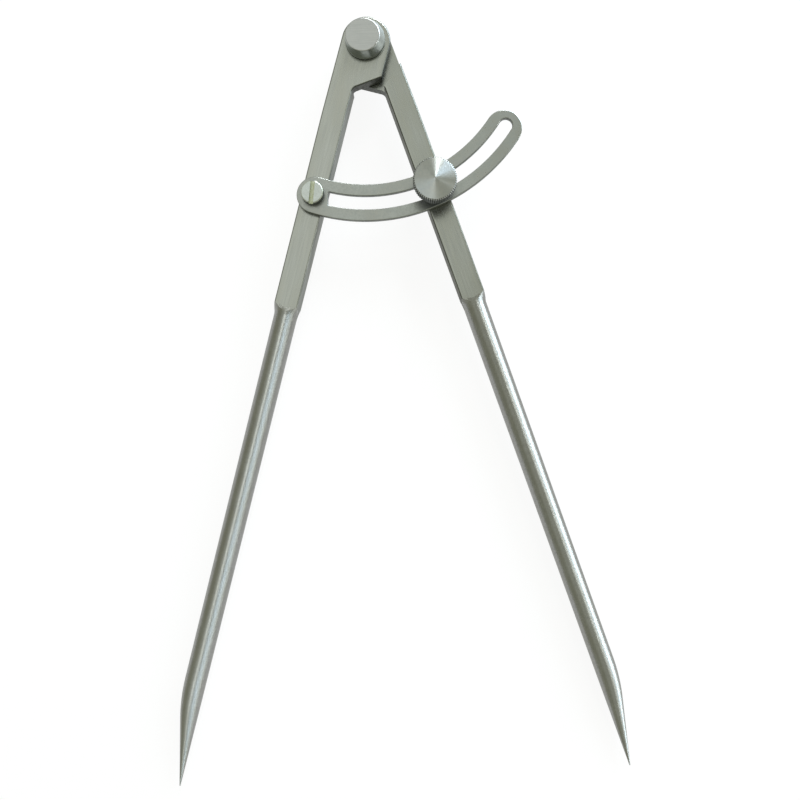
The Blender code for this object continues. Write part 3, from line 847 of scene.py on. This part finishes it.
def head_corners(seat, face):
    """(radius, height) of a head: up the rim from its seat, along the cone, and in to the axis."""
    up = math.copysign(1.0, face - seat)
    return [(HEAD_DIAMETER / 2, seat), (HEAD_DIAMETER / 2, seat + up * HEAD_RIM_HEIGHT),
            (HEAD_FACE_DIAMETER / 2 + FACE_EDGE / 2, face), (0.0, face)]


def dressed(mesh, seat, face):
    """x grows by head shift + share * (face shift + stretch * x), the share of the height above
    the rim. It is taken from just under the seat up, so that the hidden shank stays in place."""
    points = np.zeros(len(mesh.vertices) * 3)
    mesh.vertices.foreach_get("co", points)
    x, _, z = points.reshape(-1, 3).T / MM
    share = np.clip((z - seat - HEAD_RIM_HEIGHT) / (face - seat - HEAD_RIM_HEIGHT), 0.0, 1.0)
    x = x + (z > seat - SEAT_TOLERANCE) * (HEAD_SHIFT + share * (FACE_SHIFT + FACE_STRETCH * x))
    points[0::3] = x * MM
    mesh.vertices.foreach_set("co", points)


print("pivot head:", HEAD_DIAMETER, "mm across, face", HEAD_FACE_DIAMETER, "mm")

# %% Bolt and nut
TURNS = 160
BLIND_DEPTH = 0.3
HEAD_SPACING = 0.4
NUT_SPACING = 0.5
SMALL_EDGE = 0.1
BORE_EDGE = 0.15
SHANK_EDGE = 0.5

shank = PIVOT_DIAMETER / 2
bolt_head = head_corners(ARC_BOTTOM, bolt_high[2])
bolt_path = rounded_path(
    [*bolt_head[::-1], (shank, ARC_BOTTOM), (shank, bolt_low[2]), (0.0, bolt_low[2])],
    [FACE_EDGE, CONE_EDGE, HEAD_EDGE, SMALL_EDGE, SHANK_EDGE])
bolt_mesh = turned_mesh("bolt", resampled(bolt_path, HEAD_SPACING), TURNS)
pivot_bolt = new_piece("pivot_bolt_turned", bolt_mesh)
dressed(pivot_bolt.data, ARC_BOTTOM, bolt_high[2])

bore = shank + BORE_CLEARANCE
bore_end = bolt_low[2] - BLIND_DEPTH
nut_path = rounded_path(
    [(0.0, bore_end), (bore, bore_end), (bore, nut_high[2]),
     *head_corners(nut_high[2], nut_low[2])],
    [SMALL_EDGE, BORE_EDGE, HEAD_EDGE, CONE_EDGE, FACE_EDGE])
nut_mesh = turned_mesh("nut", resampled(nut_path, NUT_SPACING), TURNS)
pivot_nut = new_piece("pivot_nut_turned", nut_mesh)
for turned_piece in (pivot_bolt, pivot_nut):
    smooth(turned_piece.data)
print("faces of the bolt:", len(pivot_bolt.data.polygons), "nut:", len(pivot_nut.data.polygons))

# %% [markdown]
# ## Arc screw
# A zinc plated cheese-head screw with a straight slot. Its head is turned, its thread is a relief
# on the shank, and a thin box cuts the slot, at the angle at which the driver left it.

# %% Arc screw
SCREW_HEAD_DIAMETER = 7.0
SEAT_GAP = 0.3
SCREW_SEAT = ARC_TOP + SEAT_GAP
SCREW_EDGE = 0.4
SCREW_SPACING = 0.1
SCREW_TURNS = 96
DRIVE_SLOT_WIDTH = 1.35
DRIVE_SLOT_DEPTH = 1.1
DRIVE_SLOT_ANGLE = math.radians(-8.5)
CUT_MARGIN = 1.0
THREAD_CHAMFER = 0.5

thread = THREAD_DIAMETER / 2
head = SCREW_HEAD_DIAMETER / 2
shank_corners = [(thread, SCREW_SEAT), (thread, screw_low[2] + THREAD_CHAMFER),
                 (thread - THREAD_CHAMFER, screw_low[2]), (0.0, screw_low[2])]
screw_path = rounded_path(
    [(0.0, screw_high[2]), (head, screw_high[2]), (head, SCREW_SEAT), *shank_corners],
    [SCREW_EDGE, *[SMALL_EDGE] * 4])
screw_body = turned_mesh("screw", resampled(screw_path, SCREW_SPACING), SCREW_TURNS,
                         thread_relief(screw_low[2], SCREW_SEAT, thread))
half, reach = DRIVE_SLOT_WIDTH / 2, head + CUT_MARGIN
slot_bar = prism(
    "slot_bar", [(-half, -reach), (half, -reach), (half, reach), (-half, reach)],
    screw_high[2] - DRIVE_SLOT_DEPTH, screw_high[2] + CUT_MARGIN)
slot_bar.data.transform(Matrix.Rotation(DRIVE_SLOT_ANGLE, 4, "Z"))
arc_screw = new_piece("arc_screw_slotted", milled(new_piece("screw", screw_body), [slot_bar]))
arc_screw.data.transform(Matrix.Translation((*(screw_centre * MM), 0.0)))
smooth(arc_screw.data)
print("arc screw head:", SCREW_HEAD_DIAMETER, "mm, slot", DRIVE_SLOT_WIDTH, "mm")

# %% [markdown]
# ## Clamp screw
# One turned piece: a disc with a knurled rim and a face that rises to its centre as a very shallow
# cone, a collar that presses on the arc, and the thread. The knurl is pressed straight across the
# rim, so its relief is the same at every height and fades into the chamfers. A real knurl of this
# size has about 80 teeth. Those would vanish at this distance, so 60 slightly deeper ones are cut.

# %% Profile of the clamp screw
DISC_DIAMETER = 13.2
DISC_HEIGHT = 4.4
DISC_CHAMFER = 0.45
DISC_CROWN = 0.8
COLLAR_DIAMETER = 8.0
CHAMFER_EDGE = 0.08
COLLAR_EDGE = 0.15
DISC_SPACING = 0.4
THREAD_SPACING = 0.12

disc = DISC_DIAMETER / 2
disc_top = clamp_high[2] - DISC_CROWN
disc_bottom = disc_top - DISC_HEIGHT
collar = COLLAR_DIAMETER / 2
clamp_path = rounded_path(
    [(0.0, clamp_high[2]), (disc - DISC_CHAMFER, disc_top), (disc, disc_top - DISC_CHAMFER),
     (disc, disc_bottom + DISC_CHAMFER), (disc - DISC_CHAMFER, disc_bottom),
     (collar, disc_bottom), (collar, SCREW_SEAT), *shank_corners],
    [CHAMFER_EDGE, SMALL_EDGE, SMALL_EDGE, CHAMFER_EDGE, COLLAR_EDGE, *[SMALL_EDGE] * 4],
    segments=4)
clamp_spacing = np.where(clamp_path[1:, 1] > SCREW_SEAT, DISC_SPACING, THREAD_SPACING)
print("clamp disc:", DISC_DIAMETER, "mm across,", DISC_HEIGHT, "mm high")

# %% Knurl and thread
KNURL_TEETH = 60
KNURL_SAMPLES = 6
KNURL_DEPTH = 0.22

thread_of_clamp = thread_relief(clamp_low[2], SCREW_SEAT, thread)


def clamp_relief(height, angle, radius):
    """Knurl: depth * (1 - |cos(teeth * angle / 2)|) on the rim, faded over the chamfers."""
    tooth = 1.0 - np.abs(np.cos(KNURL_TEETH * angle / 2))
    on_rim = np.clip((radius - (disc - DISC_CHAMFER)) / DISC_CHAMFER, 0.0, 1.0)
    return -KNURL_DEPTH * tooth * on_rim + thread_of_clamp(height, angle, radius)


clamp_mesh = turned_mesh("clamp", resampled(clamp_path, clamp_spacing),
                         KNURL_TEETH * KNURL_SAMPLES, clamp_relief)
clamp_screw = new_piece("clamp_screw_knurled", clamp_mesh)
clamp_screw.data.transform(Matrix.Translation((*(clamp_centre * MM), 0.0)))
smooth(clamp_screw.data)
print("clamp screw:", KNURL_TEETH, "teeth,", len(clamp_screw.data.polygons), "faces")

# %% [markdown]
# ## Steel
# All pieces are metal, so their look is their reflection: how bright the steel is, how blurred its
# mirror image is, and in which direction the tool's marks stretch it. A Principled shader does all
# of this. The marks themselves are noise, stretched along the way the tool went, which tints the
# steel, changes its blur and tilts its surface by a few thousandths of a millimetre.
#
# Noise lies close to 0.5 nearly everywhere, so only the middle of its range is spread over the
# range from one tint or blur to the other. The three ranges are written here once.

# %% A steel material
CLOUD_RANGE = (0.35, 0.65)
TINT_RANGE = (0.4, 0.7)
BLUR_RANGE = (0.3, 0.7)


def noise_over(tree, steps, detail):
    """Noise over Object coordinates in mm. Each step is a Mapping's centre, turn or stretch."""
    vector = add_node(tree, "ShaderNodeTexCoord").outputs["Object"]
    for step in steps:
        vector = add_node(tree, "ShaderNodeMapping", {"Vector": vector, **step}).outputs["Vector"]
    noise = add_node(tree, "ShaderNodeTexNoise", {
        "Vector": vector, "Scale": 1.0 / MM, "Detail": detail})
    return noise.outputs["Fac"]


def steel(name, tints, blur, tool_marks, clouds, relief, stretch=0.0, rotation=0.0):
    """A Principled metal.

    tints: the steel's own colour, the colour in its marks, and the colour of its clouds.
    blur: roughness between and in the marks. stretch, rotation: anisotropy and its quarter turns.
    tool_marks, clouds: Mapping steps and the noise's detail. relief: depth of the marks in mm.
    """
    material = bpy.data.materials.new(name)
    material.use_nodes = True
    tree = material.node_tree
    shader = tree.nodes["Principled BSDF"]
    shader.inputs["Metallic"].default_value = 1.0
    shader.inputs["Anisotropic"].default_value = stretch
    shader.inputs["Anisotropic Rotation"].default_value = rotation
    tangent = add_node(tree, "ShaderNodeTangent", direction_type="UV_MAP", uv_map="surface")
    mark, cloud = noise_over(tree, *tool_marks), noise_over(tree, *clouds)
    cloud_share, mark_share, roughness = [
        add_node(tree, "ShaderNodeMapRange", {
            "Value": value, "From Min": source[0], "From Max": source[1],
            "To Min": target[0], "To Max": target[1]}).outputs["Result"]
        for value, source, target in (
            (cloud, CLOUD_RANGE, (0.0, 1.0)), (mark, TINT_RANGE, (0.0, 1.0)),
            (mark, BLUR_RANGE, blur))]
    cloudy = add_node(tree, "ShaderNodeMix", data_type="RGBA", inputs={
        "Factor": cloud_share, 6: linear(tints[0]), 7: linear(tints[2])})
    marked = add_node(tree, "ShaderNodeMix", data_type="RGBA", inputs={
        "Factor": mark_share, 6: cloudy.outputs[2], 7: linear(tints[1])})
    bump = add_node(tree, "ShaderNodeBump", {
        "Height": mark, "Distance": relief * MM, "Strength": 1.0})
    tree.links.new(tangent.outputs["Tangent"], shader.inputs["Tangent"])
    tree.links.new(marked.outputs[2], shader.inputs["Base Color"])
    tree.links.new(roughness, shader.inputs["Roughness"])
    tree.links.new(bump.outputs["Normal"], shader.inputs["Normal"])
    return material


print("a mark's tint is reached at noise", TINT_RANGE[1])

# %% [markdown]
# A pattern's scale is a count for each millimetre: 2.2 across and 0.08 along make streaks about
# 0.45 mm wide and 12 mm long. The scratches of a real grinding belt are ten times finer. They are
# drawn as coarse as the render needs to show them, and faint, so that the steel still reads as
# satin. On a leg the pattern is first turned onto the leg, and on a screw it is centred.

# %% Directions of the marks


def along(turn, across_scale, along_scale):
    """Mapping steps for marks along a leg: turn the leg's length onto Y, then stretch."""
    return [{"Rotation": (0.0, 0.0, -turn)}, {"Scale": (across_scale, along_scale, across_scale)}]


def about(centre, *scale):
    """Mapping steps for a piece round an upright axis: move the axis to the origin, then stretch.

    One scale is used for all three directions, or three are given, one for each.
    """
    place = (-centre[0] * MM, -centre[1] * MM, 0.0)
    return [{"Location": place}, {"Scale": scale if len(scale) == 3 else scale * 3}]


PIVOT = (0.0, 0.0)
print("streaks on the flats are", round(1 / 2.2, 2), "mm wide and", 1 / 0.08, "mm long")

# %% [markdown]
# ## Finishes of the legs
# Four tools leave four finishes. The flats are ground on a belt, the narrow sides and the long
# edges are as the drawn bar came, the ear's flanks are milled, and the rod is turned and tumbled.
# The sides and long edges are tinted dark as painted shade, and the ear's flanks nearly black as
# painted shade in its hollows. The two legs are the same part, but the left one's flats and sides
# are painted lighter and the right one's darker, as painted light for the light each one catches.

# %% Finishes of the legs


def leg_finishes(side, turn, flat_tints_with_painted_light, side_tints_in_painted_shade):
    """The finishes of a leg that is swung by turn: flats, sides, rod and ear flanks."""
    return [
        # A belt along the leg: an even, soft grey with faint long streaks and no clear mirror. The
        # grey is painted lighter on the left leg and darker on the right, as painted light.
        steel(f"satin ground stainless steel, {side}", flat_tints_with_painted_light, blur=(0.24, 0.29), stretch=0.25,
              tool_marks=(along(turn, 2.2, 0.08), 4.0), clouds=(along(turn, 0.16, 0.05), 3.0),
              relief=0.0012),
        # Pulled through a die: dull, with broken lines along the bar, and tinted dark as painted
        # shade.
        steel(f"drawn stainless steel side, {side}", side_tints_in_painted_shade, blur=(0.45, 0.60), stretch=0.4,
              tool_marks=(along(turn, 1.6, 0.12), 4.0), clouds=(along(turn, 0.3, 0.1), 2.0),
              relief=0.004),
        # Fine rings of the lathe: highlights are drawn out along the rod, so each window becomes
        # a soft band down its length. U runs round the rod, so the stretch takes a quarter turn.
        steel(f"turned and tumbled stainless steel, {side}", ("#b0b1ae", "#a5a6a3", "#aaaaa4"),
              blur=(0.48, 0.53), stretch=1.0, rotation=0.25,
              tool_marks=(along(turn, 0.8, 5.0), 3.0), clouds=(along(turn, 0.4, 0.15), 3.0),
              relief=0.001),
        # The mill's short bites in a hollow where little light comes: dull, and tinted nearly black
        # as painted shade.
        steel(f"milled ear flank in painted shade, {side}", ("#51534f", "#41433f", "#595b56"),
              blur=(0.40, 0.55), stretch=0.3,
              tool_marks=(along(turn, 1.6, 1.6), 4.0), clouds=(along(turn, 0.3, 0.3), 2.0),
              relief=0.004)]


# Painted light: the left leg's tints are lighter and the right leg's darker, for the light each
# catches.
finishes = {
    right_leg: leg_finishes("right", OPENING / 2, ("#9b9d99", "#929490", "#96978f"),
                            ("#656761", "#53554f", "#6d6f65")),
    left_leg: leg_finishes("left", -OPENING / 2, ("#a5a7a4", "#9c9e9b", "#9fa09a"),
                           ("#7f817c", "#6e706b", "#878984"))}
print("finishes of the legs:", [material.name for material in finishes[right_leg]])

# %% [markdown]
# ## Finishes of the arc and its screw
# Tumbling with small stones takes all direction from the arc's faces. The screw is zinc plated and
# passivated, which leaves a cool bright face and a trace of yellow in the slot, where the bath
# dries last.

# %% Finishes of the arc and the arc screw
finishes[arc] = [
    # Tumbled: a plain matt grey with a fine, even grain.
    steel("tumbled stainless sheet", ("#9da09e", "#939694", "#989995"), blur=(0.27, 0.33),
          tool_marks=(about(PIVOT, 1.6), 4.0), clouds=(about(PIVOT, 0.12), 3.0), relief=0.0015),
    # Sheared by the punch: a rough line round the sheet, tinted dark as painted shade.
    steel("blanked sheet edge in painted shade", ("#5f635e", "#4d514c", "#6b6f69"), blur=(0.40, 0.50),
          tool_marks=(about(PIVOT, 2.0, 2.0, 0.5), 4.0), clouds=(about(PIVOT, 0.2), 2.0),
          relief=0.004)]
finishes[arc_screw] = [
    # Bright zinc: the lightest and coolest face of the compass, slightly mottled.
    steel("bright zinc plate", ("#b9bebd", "#aeb3b1", "#b3b8b6"), blur=(0.25, 0.31),
          tool_marks=(about(screw_centre, 1.2), 4.0), clouds=(about(screw_centre, 0.5), 2.0),
          relief=0.001),
    # The same plating on a rough turned side, tinted dark as painted shade: it reads as a dark
    # ring.
    steel("zinc plate on the head's side in painted shade", ("#555a56", "#464a47", "#5f6460"), blur=(0.35, 0.45),
          tool_marks=(about(screw_centre, 2.0, 2.0, 0.6), 3.0),
          clouds=(about(screw_centre, 0.5), 2.0), relief=0.003),
    # Dried yellow passivation: a dull, faintly olive stripe with darker lines along it.
    steel("yellow passivated zinc in the slot", ("#b0b4a2", "#9fa283", "#b8bbab"),
          blur=(0.40, 0.50), tool_marks=(about(screw_centre, 3.0, 1.0, 3.0), 3.0),
          clouds=(about(screw_centre, 0.5), 2.0), relief=0.003)]
print("finishes of the arc:", len(finishes[arc]), "and of its screw:", len(finishes[arc_screw]))

# %% [markdown]
# ## Finishes of the clamp screw and the pivot
# The disc's shallow cone is fine turned: its rings stretch every highlight into a wedge that runs
# from the centre to the rim, so it must be strongly anisotropic, with the tangent down the
# profile. The knurl is tinted dark as painted shade, and its crests a little lighter as a painted
# highlight.

# %% Finishes of the clamp screw and the pivot
finishes[clamp_screw] = [
    # Fine turned: bright wedges to the windows and soft grey ones between them.
    steel("fine turned stainless steel", ("#a3a6a5", "#9b9e9d", "#a1a29f"), blur=(0.34, 0.38),
          stretch=0.88, tool_marks=(about(clamp_centre, 1.5), 3.0),
          clouds=(about(clamp_centre, 0.2), 2.0), relief=0.0006),
    # Pressed grooves, too rough to mirror the table, tinted dark grey as painted shade.
    steel("knurled stainless rim in painted shade", ("#353936", "#2c302d", "#3d413e"), blur=(0.50, 0.60),
          tool_marks=(about(clamp_centre, 2.0), 3.0), clouds=(about(clamp_centre, 0.3), 2.0),
          relief=0.003),
    # Painted highlight: the crests are tinted lighter, thin ticks all round the rim.
    steel("knurl crests with painted highlight", ("#565b57", "#4b504c", "#5f6460"), blur=(0.40, 0.50),
          tool_marks=(about(clamp_centre, 2.0), 3.0), clouds=(about(clamp_centre, 0.3), 2.0),
          relief=0.002)]
for pivot_piece, side in ((pivot_bolt, "front"), (pivot_nut, "back")):
    finishes[pivot_piece] = [
        # Rubbed flat on fine paper: a quiet light grey with hair lines from side to side.
        steel(f"satin faced pivot head, {side}", ("#abacac", "#a0a1a1", "#a7a8a8"),
              blur=(0.28, 0.33), tool_marks=(about(PIVOT, 0.15, 2.6, 1.0), 4.0),
              clouds=(about(PIVOT, 0.3, 0.5, 0.3), 2.0), relief=0.0015),
        # Turned: light and dark run round the cone, as it faces a window or the room.
        steel(f"turned pivot cone, {side}", ("#969c98", "#828884", "#a0a6a1"), blur=(0.28, 0.34),
              stretch=0.6, tool_marks=(about(PIVOT, 0.6, 0.6, 5.0), 3.0),
              clouds=(about(PIVOT, 0.2), 2.0), relief=0.002)]
print("finishes:", sum(len(finish) for finish in finishes.values()))

# %% [markdown]
# ## Which face gets which finish
# Level faces get a piece's first finish and steep ones its second, which on the legs, the arc,
# the arc screw and the clamp's rim is tinted dark as painted shade. Further finishes follow from
# the way the piece was made, rows that the lathe cut and the walls of the screw's slot, or from
# painted light: the ear's flanks get painted shade and the crests of the knurl a painted
# highlight. All of it is read from whole arrays of face normals and centres, so no face is picked
# by hand.

# %% Faces as arrays
STEEP = 0.6
STEEP_ON_LEG = 0.9
STEEP_AT_EAR = 0.85
FACING_IN = 0.2


def face_array(mesh, name):
    """A vector of each face, such as its normal or its centre, as rows of three."""
    values = np.zeros(len(mesh.polygons) * 3, np.float32)
    mesh.polygons.foreach_get(name, values)
    return values.reshape(-1, 3)


def corner_maximum(mesh, values):
    """For each face, the largest value at its corners."""
    first_corner = np.zeros(len(mesh.polygons), np.int32)
    mesh.polygons.foreach_get("loop_start", first_corner)
    corner_vertex = np.zeros(len(mesh.loops), np.int32)
    mesh.loops.foreach_get("vertex_index", corner_vertex)
    return np.maximum.reduceat(values[corner_vertex], first_corner)


def put_on(piece, index):
    """Give the piece its finishes, and each face the number of its finish."""
    piece.data.materials.clear()
    for material in finishes[piece]:
        piece.data.materials.append(material)
    piece.data.polygons.foreach_set("material_index", index.astype(np.int32))


print("a face is steep below", STEEP, "of an upright normal, and on a leg below", STEEP_ON_LEG)

# %% Faces of the legs


def ear_faces_in_painted_shade(piece, place, normal):
    """Steep faces round the ear, above its axis, and on its inner side down to its root."""
    side = 1.0 if piece is right_leg else -1.0
    down = np.array([side * math.sin(OPENING / 2), -math.cos(OPENING / 2)])
    inwards = np.array([down[1] * side, -down[0] * side])
    s = place[:, :2] @ down
    faces_in = normal[:, :2] @ inwards > FACING_IN
    steep = np.abs(normal[:, 2]) < STEEP_AT_EAR
    return steep & ((s < 0.0) | (faces_in & (s < FILLET_LINE)))


for piece in (right_leg, left_leg):
    normal = face_array(piece.data, "normal")
    turned = np.zeros(len(piece.data.vertices), np.float32)
    piece.data.attributes["turned"].data.foreach_get("value", turned)
    # Steep faces, the long edges among them, get the side finish, tinted dark as painted shade.
    index = (np.abs(normal[:, 2]) < STEEP_ON_LEG).astype(np.int32)
    index[corner_maximum(piece.data, turned) > 0.5] = 2
    # The ear's flanks get the nearly black finish, which is painted shade.
    index[ear_faces_in_painted_shade(piece, face_array(piece.data, "center") / MM, normal)] = 3
    put_on(piece, index)
    print(piece.name, "faces by finish:", np.bincount(index).tolist())

# %% Faces of the arc, the pivot and the screws
CREST = 0.8
SLOT_TOP_MARGIN, SLOT_LOW_MARGIN, SLOT_SIDE_MARGIN = 0.05, 0.1, 0.1

for piece in (arc, pivot_bolt, pivot_nut, arc_screw, clamp_screw):
    place = face_array(piece.data, "center") / MM
    # Steep faces get the second finish: on the arc, the arc screw and the clamp screw it is tinted
    # dark as painted shade.
    index = (np.abs(face_array(piece.data, "normal")[:, 2]) < STEEP).astype(np.int32)
    if piece is arc_screw:
        height = place[:, 2]
        below_top = height < screw_high[2] - SLOT_TOP_MARGIN
        in_slot = below_top & (height > SCREW_SEAT + SLOT_LOW_MARGIN)
        off_axis = np.hypot(*(place[:, :2] - screw_centre).T)
        index[in_slot & (off_axis < SCREW_HEAD_DIAMETER / 2 - SLOT_SIDE_MARGIN)] = 2
    if piece is clamp_screw:
        x, y = (place[:, :2] - clamp_centre).T
        # The crests get a lighter finish, which is a painted highlight.
        on_crest = np.abs(np.cos(KNURL_TEETH * np.arctan2(y, x) / 2)) > CREST
        index[(index == 1) & on_crest & (np.hypot(x, y) > disc - DISC_CHAMFER)] = 2
    put_on(piece, index)
    print(piece.name, "faces by finish:", np.bincount(index).tolist())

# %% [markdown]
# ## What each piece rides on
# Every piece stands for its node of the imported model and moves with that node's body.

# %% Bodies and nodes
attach(left_leg, "left_leg_and_arc")
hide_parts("left_leg")
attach(right_leg, "right_leg")
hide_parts("right_leg")
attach(arc, "left_leg_and_arc")
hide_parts("wing_arc")
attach(pivot_bolt, "left_leg_and_arc")
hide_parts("pivot_bolt")
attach(pivot_nut, "left_leg_and_arc")
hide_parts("pivot_nut")
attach(arc_screw, "left_leg_and_arc")
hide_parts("arc_screw")
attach(clamp_screw, "clamp_screw")
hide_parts("clamp_screw")
print("pieces placed")

# %% [markdown]
# ## The table
# The compass rests on the nut's edge and on both rods, so the table under it slopes by about a
# degree in the compass's own frame. One large face does for it.

# %% Table
TABLE_SIZE = 3000.0

nut_edge = -HEAD_FACE_DIAMETER / 2
rod_bottom = LEG_LEVEL - ROD_LOW_DIAMETER / 2
rod_touch = -POINT_START * math.cos(OPENING / 2)
table_slope = math.atan2(rod_bottom, nut_edge - rod_touch)
table = new_piece("table", bpy.data.meshes.new("table"))
edge = TABLE_SIZE / 2
table_plan = np.array([(-edge, -edge), (edge, -edge), (edge, edge), (-edge, edge)])
table_height = (nut_edge - table_plan[:, 1]) * math.tan(table_slope)
table_points = (np.column_stack([table_plan, table_height]) * MM).tolist()
table.data.from_pydata(table_points, [], [(0, 1, 2, 3)])
print("the table slopes by", round(math.degrees(table_slope), 2), "degrees")

# %% [markdown]
# The photograph's paper is blown out to plain white. To the camera, and in reflections, most of
# the table's brightness is its own glow of strength 1. The rest is lit paper, and that tenth
# keeps the compass's soft shadow. All other light still meets an ordinary white paper, so the
# table throws light back onto the steel as paper would.

# %% White paper
GLOW_SHARE = 0.9
PAPER_ROUGHNESS = 0.9
# In linear light: paper throws back about 95% of the light.
PAPER_WHITE = (0.95, 0.95, 0.95, 1.0)

paper = bpy.data.materials.new("white paper")
paper.use_nodes = True
tree = paper.node_tree
shader = tree.nodes["Principled BSDF"]
shader.inputs["Base Color"].default_value = PAPER_WHITE
shader.inputs["Roughness"].default_value = PAPER_ROUGHNESS
shader.inputs["Specular IOR Level"].default_value = 0.0
rays = add_node(tree, "ShaderNodeLightPath").outputs
seen = add_node(tree, "ShaderNodeMath", {0: rays["Is Camera Ray"], 1: rays["Is Glossy Ray"]},
                operation="MAXIMUM")
seen = add_node(tree, "ShaderNodeMath", {0: seen.outputs[0], 1: rays["Is Transmission Ray"]},
                operation="MAXIMUM")
glow = add_node(tree, "ShaderNodeEmission", {"Color": (1.0, 1.0, 1.0, 1.0), "Strength": 1.0})
share = add_node(tree, "ShaderNodeMath", {0: seen.outputs[0], 1: GLOW_SHARE}, operation="MULTIPLY")
mixed = add_node(tree, "ShaderNodeMixShader", {
    0: share.outputs[0], 1: shader.outputs[0], 2: glow.outputs[0]})
tree.links.new(mixed.outputs[0], tree.nodes["Material Output"].inputs["Surface"])
table.data.materials.append(paper)
print("the table's own glow gives", GLOW_SHARE, "of what the camera sees of it")

# %% [markdown]
# ## Light
# Steel shows its surroundings. The flats mirror a dim olive-grey room and a faint lamp under the
# ceiling. The rods, the cones and the clamp's disc also mirror a row of tall window panes, low
# behind the compass and to its right. Each pane is a rectangular lamp, given by where its middle
# stands in the sky, how wide and high it looks from the compass, and how bright its glass is.

# %% The room
# In linear light: about #bcbdaa as it is shown.
ROOM_COLOR = (0.50, 0.51, 0.40, 1.0)

world = bpy.data.worlds.new("studio")
bpy.context.scene.world = world
world.use_nodes = True
background = world.node_tree.nodes["Background"]
background.inputs["Color"].default_value = ROOM_COLOR
background.inputs["Strength"].default_value = 1.0
print("room colour:", ROOM_COLOR[:3])

# %% Window panes and ceiling lamp
WINDOW_DISTANCE = 1.2
COMPASS_MIDDLE = Vector((0.0, -0.1, 0.0))
WATTS_PER_GLOW = 4.0


def window(name, azimuth, zenith, width, height, radiance, color):
    """A rectangular lamp. Its middle stands at an azimuth, clockwise from +Y, and a zenith angle,
    and width and height are angles too, all in degrees. Its side is 2 * distance * tan(angle / 2).
    A lamp of area A needs 4 * A watts to look as bright as an emission of 1."""
    lamp = bpy.data.lights.new(name, "AREA")
    lamp.shape = "RECTANGLE"
    lamp.size = 2.0 * WINDOW_DISTANCE * math.tan(math.radians(width / 2))
    lamp.size_y = 2.0 * WINDOW_DISTANCE * math.tan(math.radians(height / 2))
    lamp.energy = WATTS_PER_GLOW * radiance * lamp.size * lamp.size_y
    lamp.color = linear(color)[:3]
    holder = bpy.data.objects.new(name, lamp)
    bpy.context.scene.collection.objects.link(holder)
    turn, tilt = math.radians(azimuth), math.radians(zenith)
    towards = Vector((
        math.sin(turn) * math.sin(tilt), math.cos(turn) * math.sin(tilt), math.cos(tilt)))
    holder.location = COMPASS_MIDDLE + towards * WINDOW_DISTANCE
    holder.rotation_euler = towards.to_track_quat("Z", "Y").to_euler()
    holder.visible_camera = False
    print(name, "gives", round(lamp.energy, 1), "W")


# name, azimuth, zenith angle, width, height, brightness, colour
window("left_pane", 13.0, 66.0, 10.0, 40.0, 15.0, "#f4f9fa")
window("middle_pane", 38.0, 74.0, 26.0, 34.0, 12.5, "#d8ebfe")
window("right_pane", 60.0, 75.0, 20.0, 34.0, 5.0, "#e6f2fa")
window("far_pane", 97.0, 72.0, 5.0, 34.0, 11.0, "#f4f9fa")
window("ceiling_left", 316.0, 20.0, 40.0, 40.0, 0.5, "#f6fbff")

# %% [markdown]
# ## Camera
# The camera was fitted to the photograph. It looks almost straight down. The view transform is
# Standard, so a colour is shown about as it is written.

# %% Camera
LENS = 35.76
SENSOR_WIDTH = 36.0
CAMERA_PLACE = (0.00795, -0.11519, 0.26039)
CAMERA_TURN_DEGREES = (0.436, 0.739, -2.954)

camera_data = bpy.data.cameras.new("camera")
camera_data.lens = LENS
camera_data.sensor_width = SENSOR_WIDTH
camera = bpy.data.objects.new("camera", camera_data)
bpy.context.scene.collection.objects.link(camera)
camera.location = CAMERA_PLACE
camera.rotation_euler = [math.radians(angle) for angle in CAMERA_TURN_DEGREES]
bpy.context.scene.camera = camera
bpy.context.scene.view_settings.view_transform = "Standard"
print("camera", round(CAMERA_PLACE[2] / MM), "mm above the nut's face")
